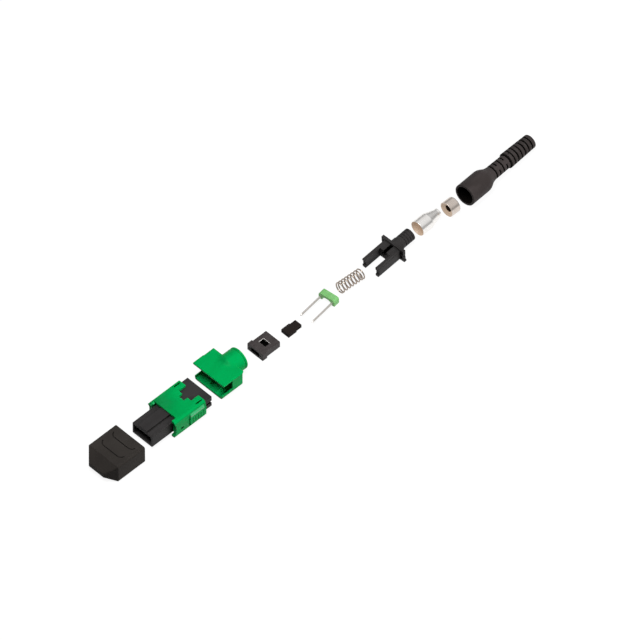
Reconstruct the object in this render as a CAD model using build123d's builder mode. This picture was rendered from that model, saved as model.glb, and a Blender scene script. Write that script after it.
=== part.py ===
from build123d import *
import math
import os

# Fibre connector for a multi-fibre ferrule, taken apart and laid out in a row on a bench, in the
# order in which it goes together. X runs along the row from the dust cap to the strain relief,
# Y to the left and Z up, with the bench at Z = 0. All sizes are in millimetres.

# Fits
slide_clearance = 0.15
snug_clearance = 0.10
pin_clearance = 0.02
sleeve_step = 0.30
sleeve_clearance = 0.20
spring_clearance = 0.125

# Multi-fibre ferrule
ferrule_width = 6.4
ferrule_height = 2.5
ferrule_length = 8.0
flange_width = 7.0
flange_height = 3.0
flange_length = 2.0
pin_pitch = 4.6
pin_diameter = 0.7
window_length = 1.9
window_width = 2.8
window_rear = 3.2

# Ferrule boot
boot_width = 3.5
boot_height = 1.6
boot_front_length = 3.4
boot_length = 5.9
boot_step = 0.25
fibre_slot_width = 3.1
fibre_slot_height = 0.45

# Inner housing
nose_width = 8.9
nose_height = 4.9
nose_round = 0.3
key_width = 3.8
key_height = 0.8
shoulder_start = 11.8
shoulder_length = 0.6
rear_start = 20.2
housing_length = 25.2
rear_width = 11.0
rear_floor_drop = 2.05
ferrule_ledge = 5.6
mouth_width = 7.7
mouth_height = 3.4
mouth_depth = 1.8
groove_height = 1.0
groove_depth = 0.5

# Release sleeve
sleeve_start = 8.4
sleeve_length = 13.5
sleeve_height = 7.3
sleeve_side_wall = 0.45
sleeve_round = 0.9
front_notch_depth = 1.8
front_notch_width = 9.2
ear_scoop = 0.65
lug_length = 1.5
rear_notch_width = 5.8
rear_notch_depth = 3.2
rear_notch_step_width = 2.4
rear_notch_step_depth = 1.6
pillar_radius = 0.55
pillar_place = 1.05
grip_start = 6.5
grip_length = 7.0
grip_raise = 0.35
grip_height = 3.7
grip_slope = 1.4
grip_ribs = 5
grip_rib_raise = 0.12
relief_slot_length = 2.7
relief_slot_width = 0.5
relief_slot_place = 4.95
peep_hole = 0.9
peep_place = 3.2
peep_drop = 1.1

# Springs of the release sleeve
side_spring_diameter = 1.4
side_wire = 0.24
side_spring_turns = 6
spring_end_gap = 0.05

# Dust cap
cap_width = 13.46
cap_height = 7.2
cap_box_length = 11.7
cap_nose_length = 3.2
cap_lip_width = 6.9
cap_lip_height = 1.7
cap_lip_top_drop = 3.6
cap_floor = 0.8
cap_round = 0.7
cap_depth = 8.3
cap_grip_width = 0.35
cap_grip_depth = 0.25
cap_grip_half = 3.0
cap_grip_hook = 1.8
cap_grip_turn = 80
cap_grip_places = (4.0, 8.75)

# Rear hood
hood_length = 9.2
hood_width = 12.4
hood_height = 7.3
hood_axis = 4.3
hood_plate_width = 14.0
hood_plate = 0.7
hood_floor = 1.0
hood_window_length = 4.6
hood_sill = 0.9
hood_rear_wall = 1.8
collar_diameter = 8.0
collar_length = 4.5
collar_blend = 3.6
collar_groove_place = 0.9
collar_groove_width = 0.35
collar_groove_depth = 0.2
ramp_width = 3.0
ramp_gap = 1.2
ramp_length = 2.6
ramp_start = 0.3

# Pin clamp
clamp_width = 6.4
clamp_height = 2.5
clamp_length = 2.4
clamp_arch_width = 3.6
clamp_arch_rise = 0.6
clamp_round = 0.8
pin_reach = 10.3
pin_taper = 0.6

# Main spring
main_spring_diameter = 4.1
main_wire = 0.42
main_spring_length = 9.6
main_spring_turns = 7

# Spring push
arm_length = 10.2
arm_height = 4.0
arm_thickness = 1.35
arm_gap_depth = 6.8
arm_catch = 0.45
arm_scoop = 0.35
arm_scoop_height = 2.0
slit_width = 1.3
push_flange_width = 9.5
push_flange_height = 5.0
push_flange_thickness = 1.0
push_nub = 0.7
push_dimple = 1.3
push_dimple_depth = 0.5
push_dimple_inset = 0.95
push_waist = 0.3
barrel_diameter = 4.4
barrel_length = 7.2
barrel_root_length = 2.0
cable_bore = 3.1
barrel_rings = 4

# Crimp tube
crimp_wall = 0.45
crimp_large_length = 4.6
crimp_taper_length = 4.2
crimp_length = 9.5
crimp_small_diameter = 3.0
crimp_small_bore = 2.4

# Crimp ring
ring_length = 3.7
ring_diameter = 5.4
ring_mouth = 4.3
ring_hole = crimp_small_diameter + 2 * snug_clearance

# Strain relief
relief_cup_diameter = 7.8
relief_cup_length = 8.8
relief_cup_wall = 0.7
relief_rim = 0.9
relief_shoulder_length = 3.3
relief_shoulder_diameter = 5.6
relief_neck_diameter = 4.9
relief_waist_diameter = 4.7
relief_rib_start = 20.1
relief_rib_diameter = 5.6
relief_end_diameter = 5.0
relief_length = 32.1
relief_bore = 3.2
relief_slots = 11
relief_first_slot = 12.9
relief_end_land = 1.9
relief_slot_gap = 0.55
relief_bridge = 1.5
relief_slot_turn = 31

# Places in the row, of each piece's front face, from the front of the inner housing
cap_place = (-20.05, 0.22)
hood_place = (30.0, 0.95)
ferrule_place = (50.5, 0.75)
ferrule_boot_place = (63.15, 0.05)
clamp_place = (82.15, 0.65)
main_spring_place = (87.8, 0.70)
push_place = (101.0, -0.15)
crimp_place = (122.7, 0.55)
ring_place = (134.9, -0.30)
relief_place = (142.36, -1.05)
clamp_yaw = 7.0
main_spring_yaw = -3.0
push_yaw = 2.0
crimp_yaw = 1.8
relief_yaw = 4.9

# Worked out from the above
key_top = nose_height / 2 + key_height
sleeve_width = rear_width + 2 * (sleeve_clearance + sleeve_side_wall)
sleeve_inner_width = sleeve_width - 2 * sleeve_side_wall
sleeve_inner_height = nose_height + 2 * sleeve_step
flange_channel_width = flange_width + 2 * slide_clearance
flange_channel_height = flange_height + 2 * slide_clearance
nose_channel_width = ferrule_width + 2 * snug_clearance
nose_channel_height = ferrule_height + 2 * snug_clearance
channel_depth = side_spring_diameter + 2 * spring_clearance
core_width = sleeve_inner_width - 2 * channel_depth
arm_gap = main_spring_diameter + 2 * slide_clearance
arm_width = arm_gap + 2 * arm_thickness
crimp_bore = barrel_diameter + 2 * snug_clearance
crimp_large_diameter = crimp_bore + 2 * crimp_wall
collar_bore = crimp_large_diameter + 2 * slide_clearance
lug_start = shoulder_start + shoulder_length
side_spring_front = lug_start + lug_length + spring_end_gap
side_spring_length = rear_start - spring_end_gap - side_spring_front
relief_slot_pitch = (relief_length - relief_first_slot - relief_end_land) / (relief_slots - 1)
relief_shoulder_start = relief_cup_length - relief_rim
relief_tilt = math.degrees(math.atan((relief_cup_diameter - relief_end_diameter) / 2
                                     / (relief_length - relief_shoulder_start)))
relief_height = (relief_cup_diameter / 2 * math.cos(math.radians(relief_tilt))
                 + relief_shoulder_start * math.sin(math.radians(relief_tilt)))
relief_lean = math.cos(math.radians(relief_yaw)) * math.cos(math.radians(relief_tilt))
push_tilt = -math.degrees(math.asin((push_flange_height - arm_height) / 2 / arm_length))
row_front = cap_place[0]
row_rear = relief_place[0] + relief_length * relief_lean + relief_end_diameter / 2 * math.sqrt(1 - relief_lean ** 2)
row_left = hood_place[1] + hood_plate_width / 2
row_right = -(sleeve_width / 2 + grip_raise + grip_rib_raise)
row_centre_x = (row_front + row_rear) / 2
row_centre_y = (row_left + row_right) / 2


def laid(place, height, yaw=0.0, tilt=0.0):
    """Seat of a piece: the centre of its front face on its axis, with x rearward and z up."""
    spot = Location((place[0] - row_centre_x, place[1] - row_centre_y, height))
    return Plane(spot * Rotation(0, 0, yaw) * Rotation(0, tilt, 0))


def across(seat, x):
    """Plane across a piece's axis at x, where a sketch's x is to the left and its y is up."""
    return Plane(origin=seat.from_local_coords(Vector(x, 0, 0)), x_dir=seat.y_dir, z_dir=seat.x_dir)


def lengthwise(seat):
    """Upright plane along a piece's axis, where a sketch's x is rearward and its y is up."""
    return Plane(origin=seat.origin, x_dir=seat.x_dir, z_dir=-seat.y_dir)


def spine(seat):
    """Axis of a piece."""
    return Axis(seat.origin, seat.x_dir)


# Dust cap, a moulded shell with a tapered front, keyed like the plug that it covers
cap_seat = laid(cap_place, cap_floor + snug_clearance + nose_height / 2)
cap_base = -(cap_floor + snug_clearance + nose_height / 2)
cap_middle = cap_base + cap_height / 2
cap_lip_middle = cap_base + cap_height - cap_lip_top_drop - cap_lip_height / 2
cap_rear = cap_nose_length + cap_box_length
with BuildPart() as dust_cap:
    with BuildSketch(across(cap_seat, cap_nose_length)):
        with Locations((0, cap_middle)):
            RectangleRounded(cap_width, cap_height, cap_round)
    extrude(amount=cap_box_length)
    with BuildSketch(across(cap_seat, 0)):
        with Locations((0, cap_lip_middle)):
            RectangleRounded(cap_lip_width, cap_lip_height, cap_round / 2)
    with BuildSketch(across(cap_seat, cap_nose_length)):
        with Locations((0, cap_middle)):
            RectangleRounded(cap_width, cap_height, cap_round)
    loft(ruled=True)
    with BuildSketch(across(cap_seat, cap_rear)):
        Rectangle(nose_width + 2 * snug_clearance, nose_height + 2 * snug_clearance)
        with Locations((0, key_top / 2)):
            Rectangle(key_width + 2 * snug_clearance, key_top + 2 * snug_clearance)
    extrude(amount=-cap_depth, mode=Mode.SUBTRACT)
    for place in cap_grip_places:
        with BuildSketch(cap_seat.offset(cap_base + cap_height)):
            with BuildLine():
                grip_x = cap_rear - place
                left = Line((grip_x, 0), (grip_x, cap_grip_half))
                JernArc(left @ 1, left % 1, cap_grip_hook, -cap_grip_turn)
                right = Line((grip_x, 0), (grip_x, -cap_grip_half))
                JernArc(right @ 1, right % 1, cap_grip_hook, cap_grip_turn)
            trace(line_width=cap_grip_width)
        extrude(amount=-cap_grip_depth, mode=Mode.SUBTRACT)
dust_cap.part.label = "dust_cap"

# Inner housing, the keyed plug body that holds the ferrule
plug_seat = laid((0.0, 0.0), sleeve_height / 2)
with BuildPart() as inner_housing:
    with BuildSketch(across(plug_seat, 0)):
        RectangleRounded(nose_width, nose_height, nose_round)
    extrude(amount=lug_start)
    with BuildSketch(across(plug_seat, 0)):
        with Locations((0, key_top / 2)):
            Rectangle(key_width, key_top)
    extrude(amount=sleeve_start + front_notch_depth)
    with BuildSketch(across(plug_seat, shoulder_start)):
        RectangleRounded(rear_width, nose_height, nose_round)
    extrude(amount=shoulder_length)
    with BuildSketch(across(plug_seat, lug_start)):
        Rectangle(core_width, nose_height)
    extrude(amount=rear_start - lug_start)
    with BuildSketch(across(plug_seat, rear_start)):
        with Locations((0, (nose_height / 2 - rear_floor_drop) / 2)):
            RectangleRounded(rear_width, nose_height / 2 + rear_floor_drop, nose_round / 2)
        with Locations((rear_width / 2, 0), (-rear_width / 2, 0)):
            Rectangle(2 * groove_depth, groove_height, mode=Mode.SUBTRACT)
    extrude(amount=housing_length - rear_start)
    with BuildSketch(across(plug_seat, 0)):
        Rectangle(nose_channel_width, nose_channel_height)
    extrude(amount=housing_length, mode=Mode.SUBTRACT)
    with BuildSketch(across(plug_seat, ferrule_ledge)):
        Rectangle(flange_channel_width, flange_channel_height)
    extrude(amount=housing_length - ferrule_ledge, mode=Mode.SUBTRACT)
    with BuildSketch(across(plug_seat, 0)):
        RectangleRounded(mouth_width, mouth_height, nose_round / 2)
    extrude(amount=mouth_depth, mode=Mode.SUBTRACT)
inner_housing.part.label = "inner_housing"

# Release sleeve, which slides rearward on the inner housing to free the plug
sleeve_end = sleeve_start + sleeve_length
with BuildPart() as release_sleeve:
    with BuildSketch(across(plug_seat, sleeve_start)):
        RectangleRounded(sleeve_width, sleeve_height, sleeve_round)
        Rectangle(sleeve_inner_width, sleeve_inner_height, mode=Mode.SUBTRACT)
    extrude(amount=sleeve_length)
    # Lugs that the side springs push forward
    with BuildSketch(across(plug_seat, lug_start)):
        with Locations(((sleeve_inner_width + core_width) / 4 + slide_clearance, 0),
                       (-(sleeve_inner_width + core_width) / 4 - slide_clearance, 0)):
            Rectangle(channel_depth, 2 * side_spring_diameter)
    extrude(amount=lug_length)
    # Raised grip on each side, sloped above, with its upright ribs
    grip_low = sleeve_round - sleeve_height / 2
    grip_high = grip_low + grip_height
    grip_inner = (sleeve_width - sleeve_side_wall) / 2
    grip_outer = sleeve_width / 2 + grip_raise
    with BuildSketch(across(plug_seat, sleeve_start + grip_start)):
        for side in (1, -1):
            with BuildLine():
                Polyline((side * grip_inner, grip_low), (side * grip_outer, grip_low + grip_raise),
                         (side * grip_outer, grip_high), (side * sleeve_width / 2, grip_high + grip_slope),
                         (side * grip_inner, grip_high + grip_slope), close=True)
            make_face()
    extrude(amount=grip_length)
    rib_pitch = grip_length / (grip_ribs + 1)
    for rib in range(1, grip_ribs + 1):
        with BuildSketch(across(plug_seat, sleeve_start + grip_start + rib * rib_pitch)):
            with Locations((grip_outer, (grip_low + grip_high) / 2), (-grip_outer, (grip_low + grip_high) / 2)):
                Rectangle(2 * grip_rib_raise, grip_height - 3 * grip_raise)
        extrude(amount=rib_pitch / 3)
    # Pillar inside each ear, with its root in the wall
    pillar_root = pillar_radius + sleeve_side_wall / 2
    with BuildSketch(plug_seat.offset(-sleeve_height / 2 + sleeve_round / 2)):
        for side in (1, -1):
            with Locations((sleeve_start + pillar_place, side * (sleeve_inner_width / 2 - pillar_radius))):
                Circle(pillar_radius)
            with Locations((sleeve_start + pillar_place, side * (sleeve_inner_width / 2 - pillar_radius + pillar_root / 2))):
                Rectangle(2 * pillar_radius, pillar_root)
    extrude(amount=sleeve_height - sleeve_round)
    # Notches of the front, above and below the nose, and the scooped front of each ear
    with BuildSketch(lengthwise(plug_seat)):
        with Locations((sleeve_start, 0)):
            Rectangle(2 * front_notch_depth, 2 * sleeve_height)
    extrude(amount=front_notch_width / 2, both=True, mode=Mode.SUBTRACT)
    scoop_radius = (ear_scoop ** 2 + (sleeve_height / 2 - sleeve_round) ** 2) / (2 * ear_scoop)
    with BuildSketch(lengthwise(plug_seat)):
        with Locations((sleeve_start + ear_scoop - scoop_radius, 0)):
            Circle(scoop_radius)
    extrude(amount=sleeve_width, both=True, mode=Mode.SUBTRACT)
    # Stepped notch of the rear, above
    with BuildSketch(plug_seat):
        with Locations((sleeve_end, 0)):
            Rectangle(2 * rear_notch_depth, rear_notch_width)
            Rectangle(2 * (rear_notch_depth + rear_notch_step_depth), rear_notch_step_width)
    extrude(amount=sleeve_height, mode=Mode.SUBTRACT)
    # Relief slots beside the notch, and a peep hole at the front of each spring channel
    with BuildSketch(plug_seat.offset(sleeve_inner_height / 2)):
        with Locations((sleeve_end - relief_slot_length / 2 - relief_slot_width, relief_slot_place),
                       (sleeve_end - relief_slot_length / 2 - relief_slot_width, -relief_slot_place)):
            SlotOverall(relief_slot_length, relief_slot_width)
    extrude(amount=sleeve_height, mode=Mode.SUBTRACT)
    with BuildSketch(lengthwise(plug_seat)):
        with Locations((sleeve_start + peep_place, -peep_drop)):
            SlotOverall(1.5 * peep_hole, peep_hole)
    extrude(amount=sleeve_width, both=True, mode=Mode.SUBTRACT)
release_sleeve.part.label = "release_sleeve"


def coil(seat, height, diameter, wire, turns):
    """Round-wire spring along a seat's axis, as a swept helix."""
    start = seat.from_local_coords(Vector(wire / 2, 0, 0))
    path = Helix(pitch=(height - wire) / turns, height=height - wire, radius=(diameter - wire) / 2,
                 center=start, direction=seat.x_dir)
    with BuildPart() as spring:
        with BuildLine():
            add(path)
        with BuildSketch(Plane(origin=path @ 0, z_dir=path % 0)):
            Circle(wire / 2)
        sweep(is_frenet=True)
    return spring


# Springs of the release sleeve, one in the channel on each side
side_spring_place = core_width / 2 + channel_depth / 2
left_spring_seat = Plane(origin=plug_seat.from_local_coords(Vector(side_spring_front, side_spring_place, 0)),
                         x_dir=plug_seat.x_dir, z_dir=plug_seat.z_dir)
right_spring_seat = Plane(origin=plug_seat.from_local_coords(Vector(side_spring_front, -side_spring_place, 0)),
                          x_dir=plug_seat.x_dir, z_dir=plug_seat.z_dir)
sleeve_spring_left = coil(left_spring_seat, side_spring_length, side_spring_diameter, side_wire,
                          side_spring_turns)
sleeve_spring_left.part.label = "sleeve_spring_left"
sleeve_spring_right = coil(right_spring_seat, side_spring_length, side_spring_diameter, side_wire,
                           side_spring_turns)
sleeve_spring_right.part.label = "sleeve_spring_right"

# Rear hood, an open box under a wide plate, with a round collar behind
hood_seat = laid(hood_place, hood_axis)
hood_top = hood_height - hood_axis
hood_inner_width = rear_width + 2 * slide_clearance
hood_inner_height = hood_height - hood_floor - hood_plate
with BuildPart() as rear_hood:
    with BuildSketch(across(hood_seat, 0)):
        with Locations((0, hood_top - hood_height / 2)):
            RectangleRounded(hood_width, hood_height, sleeve_round)
        with Locations((0, hood_top - hood_plate / 2)):
            Rectangle(hood_plate_width, hood_plate)
    extrude(amount=hood_length)
    with BuildSketch(across(hood_seat, hood_length - hood_rear_wall)):
        Circle(collar_diameter / 2)
    extrude(amount=hood_rear_wall + collar_length)
    # The collar rises out of the plate over a short cone
    with BuildSketch(across(hood_seat, hood_length - collar_blend)):
        Circle(hood_top)
    with BuildSketch(across(hood_seat, hood_length)):
        Circle(collar_diameter / 2)
    loft(ruled=True)
    with BuildSketch(across(hood_seat, 0)):
        with Locations((0, hood_floor - hood_axis + hood_inner_height / 2)):
            Rectangle(hood_inner_width, hood_inner_height)
    extrude(amount=hood_length - hood_rear_wall, mode=Mode.SUBTRACT)
    # Side windows between the plate and the sill
    with BuildSketch(lengthwise(hood_seat)):
        window_height = hood_inner_height - hood_sill
        with Locations((0, hood_top - hood_plate - window_height / 2)):
            Rectangle(2 * hood_window_length, window_height)
    extrude(amount=hood_plate_width, both=True, mode=Mode.SUBTRACT)
    # Two ramps that the plug body rides over
    with BuildSketch(lengthwise(hood_seat)):
        with BuildLine():
            Polyline((ramp_start, hood_floor - hood_axis), (ramp_length, hood_floor - hood_axis),
                     (ramp_length, -rear_floor_drop - snug_clearance), (ramp_start, hood_floor - hood_axis),
                     close=True)
        make_face()
    extrude(amount=ramp_width + ramp_gap / 2, both=True)
    with BuildSketch(hood_seat.offset(hood_floor - hood_axis)):
        with Locations((ramp_length / 2, 0)):
            Rectangle(2 * ramp_length, ramp_gap)
    extrude(amount=hood_inner_height / 2, mode=Mode.SUBTRACT)
    # Collar bore and the groove of its end lip
    with BuildSketch(across(hood_seat, hood_length + collar_length)):
        Circle(collar_bore / 2)
    extrude(amount=-(collar_length + hood_rear_wall), mode=Mode.SUBTRACT)
    with BuildSketch(across(hood_seat, hood_length + collar_length - collar_groove_place)):
        Circle(collar_diameter / 2)
        Circle(collar_diameter / 2 - collar_groove_depth, mode=Mode.SUBTRACT)
    extrude(amount=collar_groove_width, mode=Mode.SUBTRACT)
rear_hood.part.label = "rear_hood"

# Multi-fibre ferrule, which lies with its flange forward
ferrule_seat = laid(ferrule_place, flange_height / 2)
with BuildPart() as mt_ferrule:
    with BuildSketch(across(ferrule_seat, 0)):
        Rectangle(flange_width, flange_height)
    extrude(amount=flange_length)
    with BuildSketch(across(ferrule_seat, 0)):
        Rectangle(ferrule_width, ferrule_height)
    extrude(amount=ferrule_length)
    with BuildSketch(across(ferrule_seat, 0)):
        Rectangle(boot_width + 2 * snug_clearance, boot_height + 2 * snug_clearance)
    extrude(amount=boot_front_length, mode=Mode.SUBTRACT)
    with BuildSketch(ferrule_seat):
        with Locations((window_rear + window_length / 2, 0)):
            Rectangle(window_length, window_width)
    extrude(amount=ferrule_height, mode=Mode.SUBTRACT)
    with BuildSketch(across(ferrule_seat, 0)):
        with Locations((pin_pitch / 2, 0), (-pin_pitch / 2, 0)):
            Circle(pin_diameter / 2 + pin_clearance)
    extrude(amount=ferrule_length, mode=Mode.SUBTRACT)
mt_ferrule.part.label = "mt_ferrule"

# Ferrule boot, a rubber plug with a slot for the fibre ribbon
ferrule_boot_seat = laid(ferrule_boot_place, boot_height / 2)
with BuildPart() as ferrule_boot:
    with BuildSketch(across(ferrule_boot_seat, 0)):
        RectangleRounded(boot_width, boot_height, boot_step)
    extrude(amount=boot_front_length)
    with BuildSketch(across(ferrule_boot_seat, boot_front_length)):
        RectangleRounded(boot_width - 2 * boot_step, boot_height - boot_step, boot_step)
    extrude(amount=boot_length - boot_front_length)
    with BuildSketch(across(ferrule_boot_seat, 0)):
        Rectangle(fibre_slot_width, fibre_slot_height)
    extrude(amount=boot_length, mode=Mode.SUBTRACT)
ferrule_boot.part.label = "ferrule_boot"

# Pin clamp, an arch over the fibre ribbon that holds the two guide pins
clamp_seat = laid(clamp_place, clamp_height / 2, clamp_yaw)
with BuildPart() as pin_clamp:
    with BuildSketch(across(clamp_seat, 0)):
        RectangleRounded(clamp_width, clamp_height, clamp_round)
        with Locations((0, -clamp_height / 4)):
            Rectangle(clamp_width, clamp_height / 2)
        with Locations((0, -clamp_height / 2 + clamp_arch_rise / 2)):
            Rectangle(clamp_arch_width, clamp_arch_rise, mode=Mode.SUBTRACT)
        with Locations((0, -clamp_height / 2 + clamp_arch_rise)):
            Ellipse(clamp_arch_width / 2, clamp_height / 2 - clamp_arch_rise / 2, mode=Mode.SUBTRACT)
    extrude(amount=clamp_length)
    with BuildSketch(across(clamp_seat, 0)):
        with Locations((pin_pitch / 2, 0), (-pin_pitch / 2, 0)):
            Circle(pin_diameter / 2)
    extrude(amount=clamp_length, mode=Mode.SUBTRACT)
pin_clamp.part.label = "pin_clamp"


def guide_pin(y):
    """Guide pin held in the clamp at y from its middle, with a tapered tip."""
    with BuildPart() as pin:
        with BuildSketch(across(clamp_seat, -pin_reach)):
            with Locations((y, 0)):
                Circle(pin_diameter / 2)
        extrude(amount=pin_reach + clamp_length)
        tip = pin.edges().filter_by(GeomType.CIRCLE).sort_by(Axis(clamp_seat.origin, clamp_seat.x_dir))[0]
        chamfer(tip, length=pin_taper, length2=pin_diameter / 4)
    return pin


guide_pin_left = guide_pin(pin_pitch / 2)
guide_pin_left.part.label = "guide_pin_left"
guide_pin_right = guide_pin(-pin_pitch / 2)
guide_pin_right.part.label = "guide_pin_right"

# Main spring, which presses the ferrule forward
main_spring_seat = laid(main_spring_place, main_spring_diameter / 2, main_spring_yaw)
main_spring = coil(main_spring_seat, main_spring_length, main_spring_diameter, main_wire, main_spring_turns)
main_spring.part.label = "main_spring"

# Spring push, two arms on a flange, with a ribbed barrel for the crimp tube
push_seat = laid(push_place, arm_height / 2, push_yaw, push_tilt)
barrel_start = arm_length + push_flange_thickness
with BuildPart() as spring_push:
    with BuildSketch(across(push_seat, 0)):
        RectangleRounded(arm_width, arm_height, arm_catch)
    extrude(amount=arm_length)
    with BuildSketch(across(push_seat, arm_length)):
        Rectangle(push_flange_width, push_flange_height)
        with Locations((-push_flange_width / 2, -push_flange_height / 2 + push_nub / 2)):
            Rectangle(push_nub, push_nub)
    extrude(amount=push_flange_thickness)
    with BuildSketch(across(push_seat, barrel_start)):
        Circle(barrel_diameter / 2 + slide_clearance)
    extrude(amount=barrel_root_length)
    with BuildSketch(across(push_seat, barrel_start)):
        Circle(barrel_diameter / 2)
    extrude(amount=barrel_length)
    # Scooped tips of the arms, and the dimples and waist at each end of the flange
    with BuildSketch(across(push_seat, 0)):
        Rectangle(2 * arm_width, arm_scoop_height)
    extrude(amount=arm_scoop, mode=Mode.SUBTRACT)
    with BuildSketch(across(push_seat, arm_length)):
        with GridLocations(push_flange_width - 2 * push_dimple_inset, 2 * push_dimple_inset, 2, 2):
            Circle(push_dimple / 2)
    extrude(amount=push_dimple_depth, mode=Mode.SUBTRACT)
    with BuildSketch(across(push_seat, arm_length)):
        with Locations((push_flange_width / 2, 0), (-push_flange_width / 2, 0)):
            Circle(push_waist)
    extrude(amount=push_flange_thickness, mode=Mode.SUBTRACT)
    # Gap between the arms, then the slit that carries the fibre ribbon on to the bore
    with BuildSketch(across(push_seat, 0)):
        Rectangle(arm_gap, 2 * arm_height)
    extrude(amount=arm_gap_depth, mode=Mode.SUBTRACT)
    with BuildSketch(across(push_seat, arm_gap_depth)):
        with Locations((0, arm_height / 2)):
            Rectangle(slit_width, arm_height)
    extrude(amount=arm_length - arm_gap_depth, mode=Mode.SUBTRACT)
    with BuildSketch(across(push_seat, arm_gap_depth)):
        Circle(cable_bore / 2)
    extrude(amount=barrel_start + barrel_length - arm_gap_depth, mode=Mode.SUBTRACT)
    # Rings of the barrel that bite the braid
    ring_pitch = (barrel_length - barrel_root_length) / (barrel_rings + 1)
    for ring in range(1, barrel_rings + 1):
        with BuildSketch(across(push_seat, barrel_start + barrel_root_length + ring * ring_pitch)):
            Circle(barrel_diameter / 2)
            Circle(barrel_diameter / 2 - slide_clearance, mode=Mode.SUBTRACT)
        extrude(amount=ring_pitch / 3, mode=Mode.SUBTRACT)
spring_push.part.label = "spring_push"

# Crimp tube, stepped down to the cable
crimp_seat = laid(crimp_place, crimp_large_diameter / 2, crimp_yaw)
with BuildPart() as crimp_tube:
    with BuildSketch(lengthwise(crimp_seat)):
        taper_end = crimp_large_length + crimp_taper_length
        with BuildLine():
            Polyline((0, crimp_bore / 2), (0, crimp_large_diameter / 2),
                     (crimp_large_length, crimp_large_diameter / 2), (taper_end, crimp_small_diameter / 2),
                     (crimp_length, crimp_small_diameter / 2), (crimp_length, crimp_small_bore / 2),
                     (taper_end, crimp_small_bore / 2), (crimp_large_length, crimp_bore / 2), close=True)
        make_face()
    revolve(axis=spine(crimp_seat))
crimp_tube.part.label = "crimp_tube"

# Crimp ring, with a funnel mouth
ring_seat = laid(ring_place, ring_diameter / 2)
with BuildPart() as crimp_ring:
    with BuildSketch(lengthwise(ring_seat)):
        with BuildLine():
            Polyline((0, ring_mouth / 2), (0, ring_diameter / 2), (ring_length, ring_diameter / 2),
                     (ring_length, ring_hole / 2), (ring_length / 2, ring_hole / 2), close=True)
        make_face()
    revolve(axis=spine(ring_seat))
crimp_ring.part.label = "crimp_ring"

# Strain relief, a rubber cup with a slotted, tapered tail
relief_seat = laid(relief_place, relief_height, relief_yaw, relief_tilt)
shoulder_end = relief_shoulder_start + relief_shoulder_length
with BuildPart() as strain_relief:
    with BuildSketch(lengthwise(relief_seat)):
        with BuildLine():
            Spline((relief_shoulder_start, relief_cup_diameter / 2), (shoulder_end, relief_shoulder_diameter / 2),
                   (relief_first_slot, relief_neck_diameter / 2), tangents=((1, 0), (1, -0.1)))
            Polyline((relief_shoulder_start, relief_cup_diameter / 2), (0, relief_cup_diameter / 2),
                     (0, relief_cup_diameter / 2 - relief_cup_wall),
                     (relief_cup_length, relief_cup_diameter / 2 - relief_cup_wall),
                     (relief_cup_length, relief_bore / 2), (relief_length, relief_bore / 2),
                     (relief_length, relief_end_diameter / 2), (relief_rib_start, relief_rib_diameter / 2),
                     (relief_rib_start, relief_waist_diameter / 2), (relief_first_slot, relief_neck_diameter / 2))
        make_face()
    revolve(axis=spine(relief_seat))
    for slot in range(relief_slots):
        turn = relief_slot_turn + 90 * (slot % 2)
        with BuildSketch(across(relief_seat, relief_first_slot + slot * relief_slot_pitch)):
            Circle(relief_neck_diameter)
            Circle(relief_bore / 2, mode=Mode.SUBTRACT)
            Rectangle(3 * relief_neck_diameter, relief_bridge, rotation=turn, mode=Mode.SUBTRACT)
        extrude(amount=relief_slot_gap, mode=Mode.SUBTRACT)
strain_relief.part.label = "strain_relief"

os.makedirs("parts", exist_ok=True)
for piece in (dust_cap, inner_housing, release_sleeve, sleeve_spring_left, sleeve_spring_right, rear_hood,
              mt_ferrule, ferrule_boot, pin_clamp, guide_pin_left, guide_pin_right, main_spring,
              spring_push, crimp_tube, crimp_ring, strain_relief):
    export_step(piece.part, f"parts/{piece.part.label}.step")
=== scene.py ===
"""Looks of a multi-fibre connector, laid out as a kit on a bench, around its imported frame.

Everything is in metres in the frame's own axes: X runs rearward along the row, Y to the left and Z up
from the bench. Sizes that a maker would read off a drawing are written in millimetres and go through
mm().
"""

from __future__ import annotations

import logging
import math
from dataclasses import dataclass, field
from enum import Enum
from functools import lru_cache
from typing import Callable, Iterable, Sequence

import bmesh
import bpy
from mathutils import Matrix, Vector


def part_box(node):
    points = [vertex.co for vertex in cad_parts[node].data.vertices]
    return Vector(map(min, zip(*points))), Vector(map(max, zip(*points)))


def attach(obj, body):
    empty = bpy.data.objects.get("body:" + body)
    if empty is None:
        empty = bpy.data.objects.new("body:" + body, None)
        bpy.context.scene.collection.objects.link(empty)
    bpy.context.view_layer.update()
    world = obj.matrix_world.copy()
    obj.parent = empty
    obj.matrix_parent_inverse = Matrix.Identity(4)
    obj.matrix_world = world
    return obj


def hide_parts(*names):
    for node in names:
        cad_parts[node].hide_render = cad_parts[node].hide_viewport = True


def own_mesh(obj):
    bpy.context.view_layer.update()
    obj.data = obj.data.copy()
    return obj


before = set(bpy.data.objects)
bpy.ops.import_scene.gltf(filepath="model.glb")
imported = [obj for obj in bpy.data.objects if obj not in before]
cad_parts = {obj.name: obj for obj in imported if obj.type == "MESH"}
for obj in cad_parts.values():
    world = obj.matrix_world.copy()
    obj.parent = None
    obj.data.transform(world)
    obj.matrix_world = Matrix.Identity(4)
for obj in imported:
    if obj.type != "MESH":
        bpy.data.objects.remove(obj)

LOG = logging.getLogger("connector_kit")
PLUG_BODY = "plug"
SLEEVE_BODY = "sleeve"
RING_PLACE = (134.9, -0.30)
MM_PER_METRE = 1000.0

Colour = tuple[float, float, float]
Point = tuple[float, float, float]
Corner = tuple[float, float, float]
Profile = list[Corner]
FaceTest = Callable[[Vector, Vector], bool]


def mm(value: float) -> float:
    """Millimetres in metres."""
    return value / MM_PER_METRE


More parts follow.
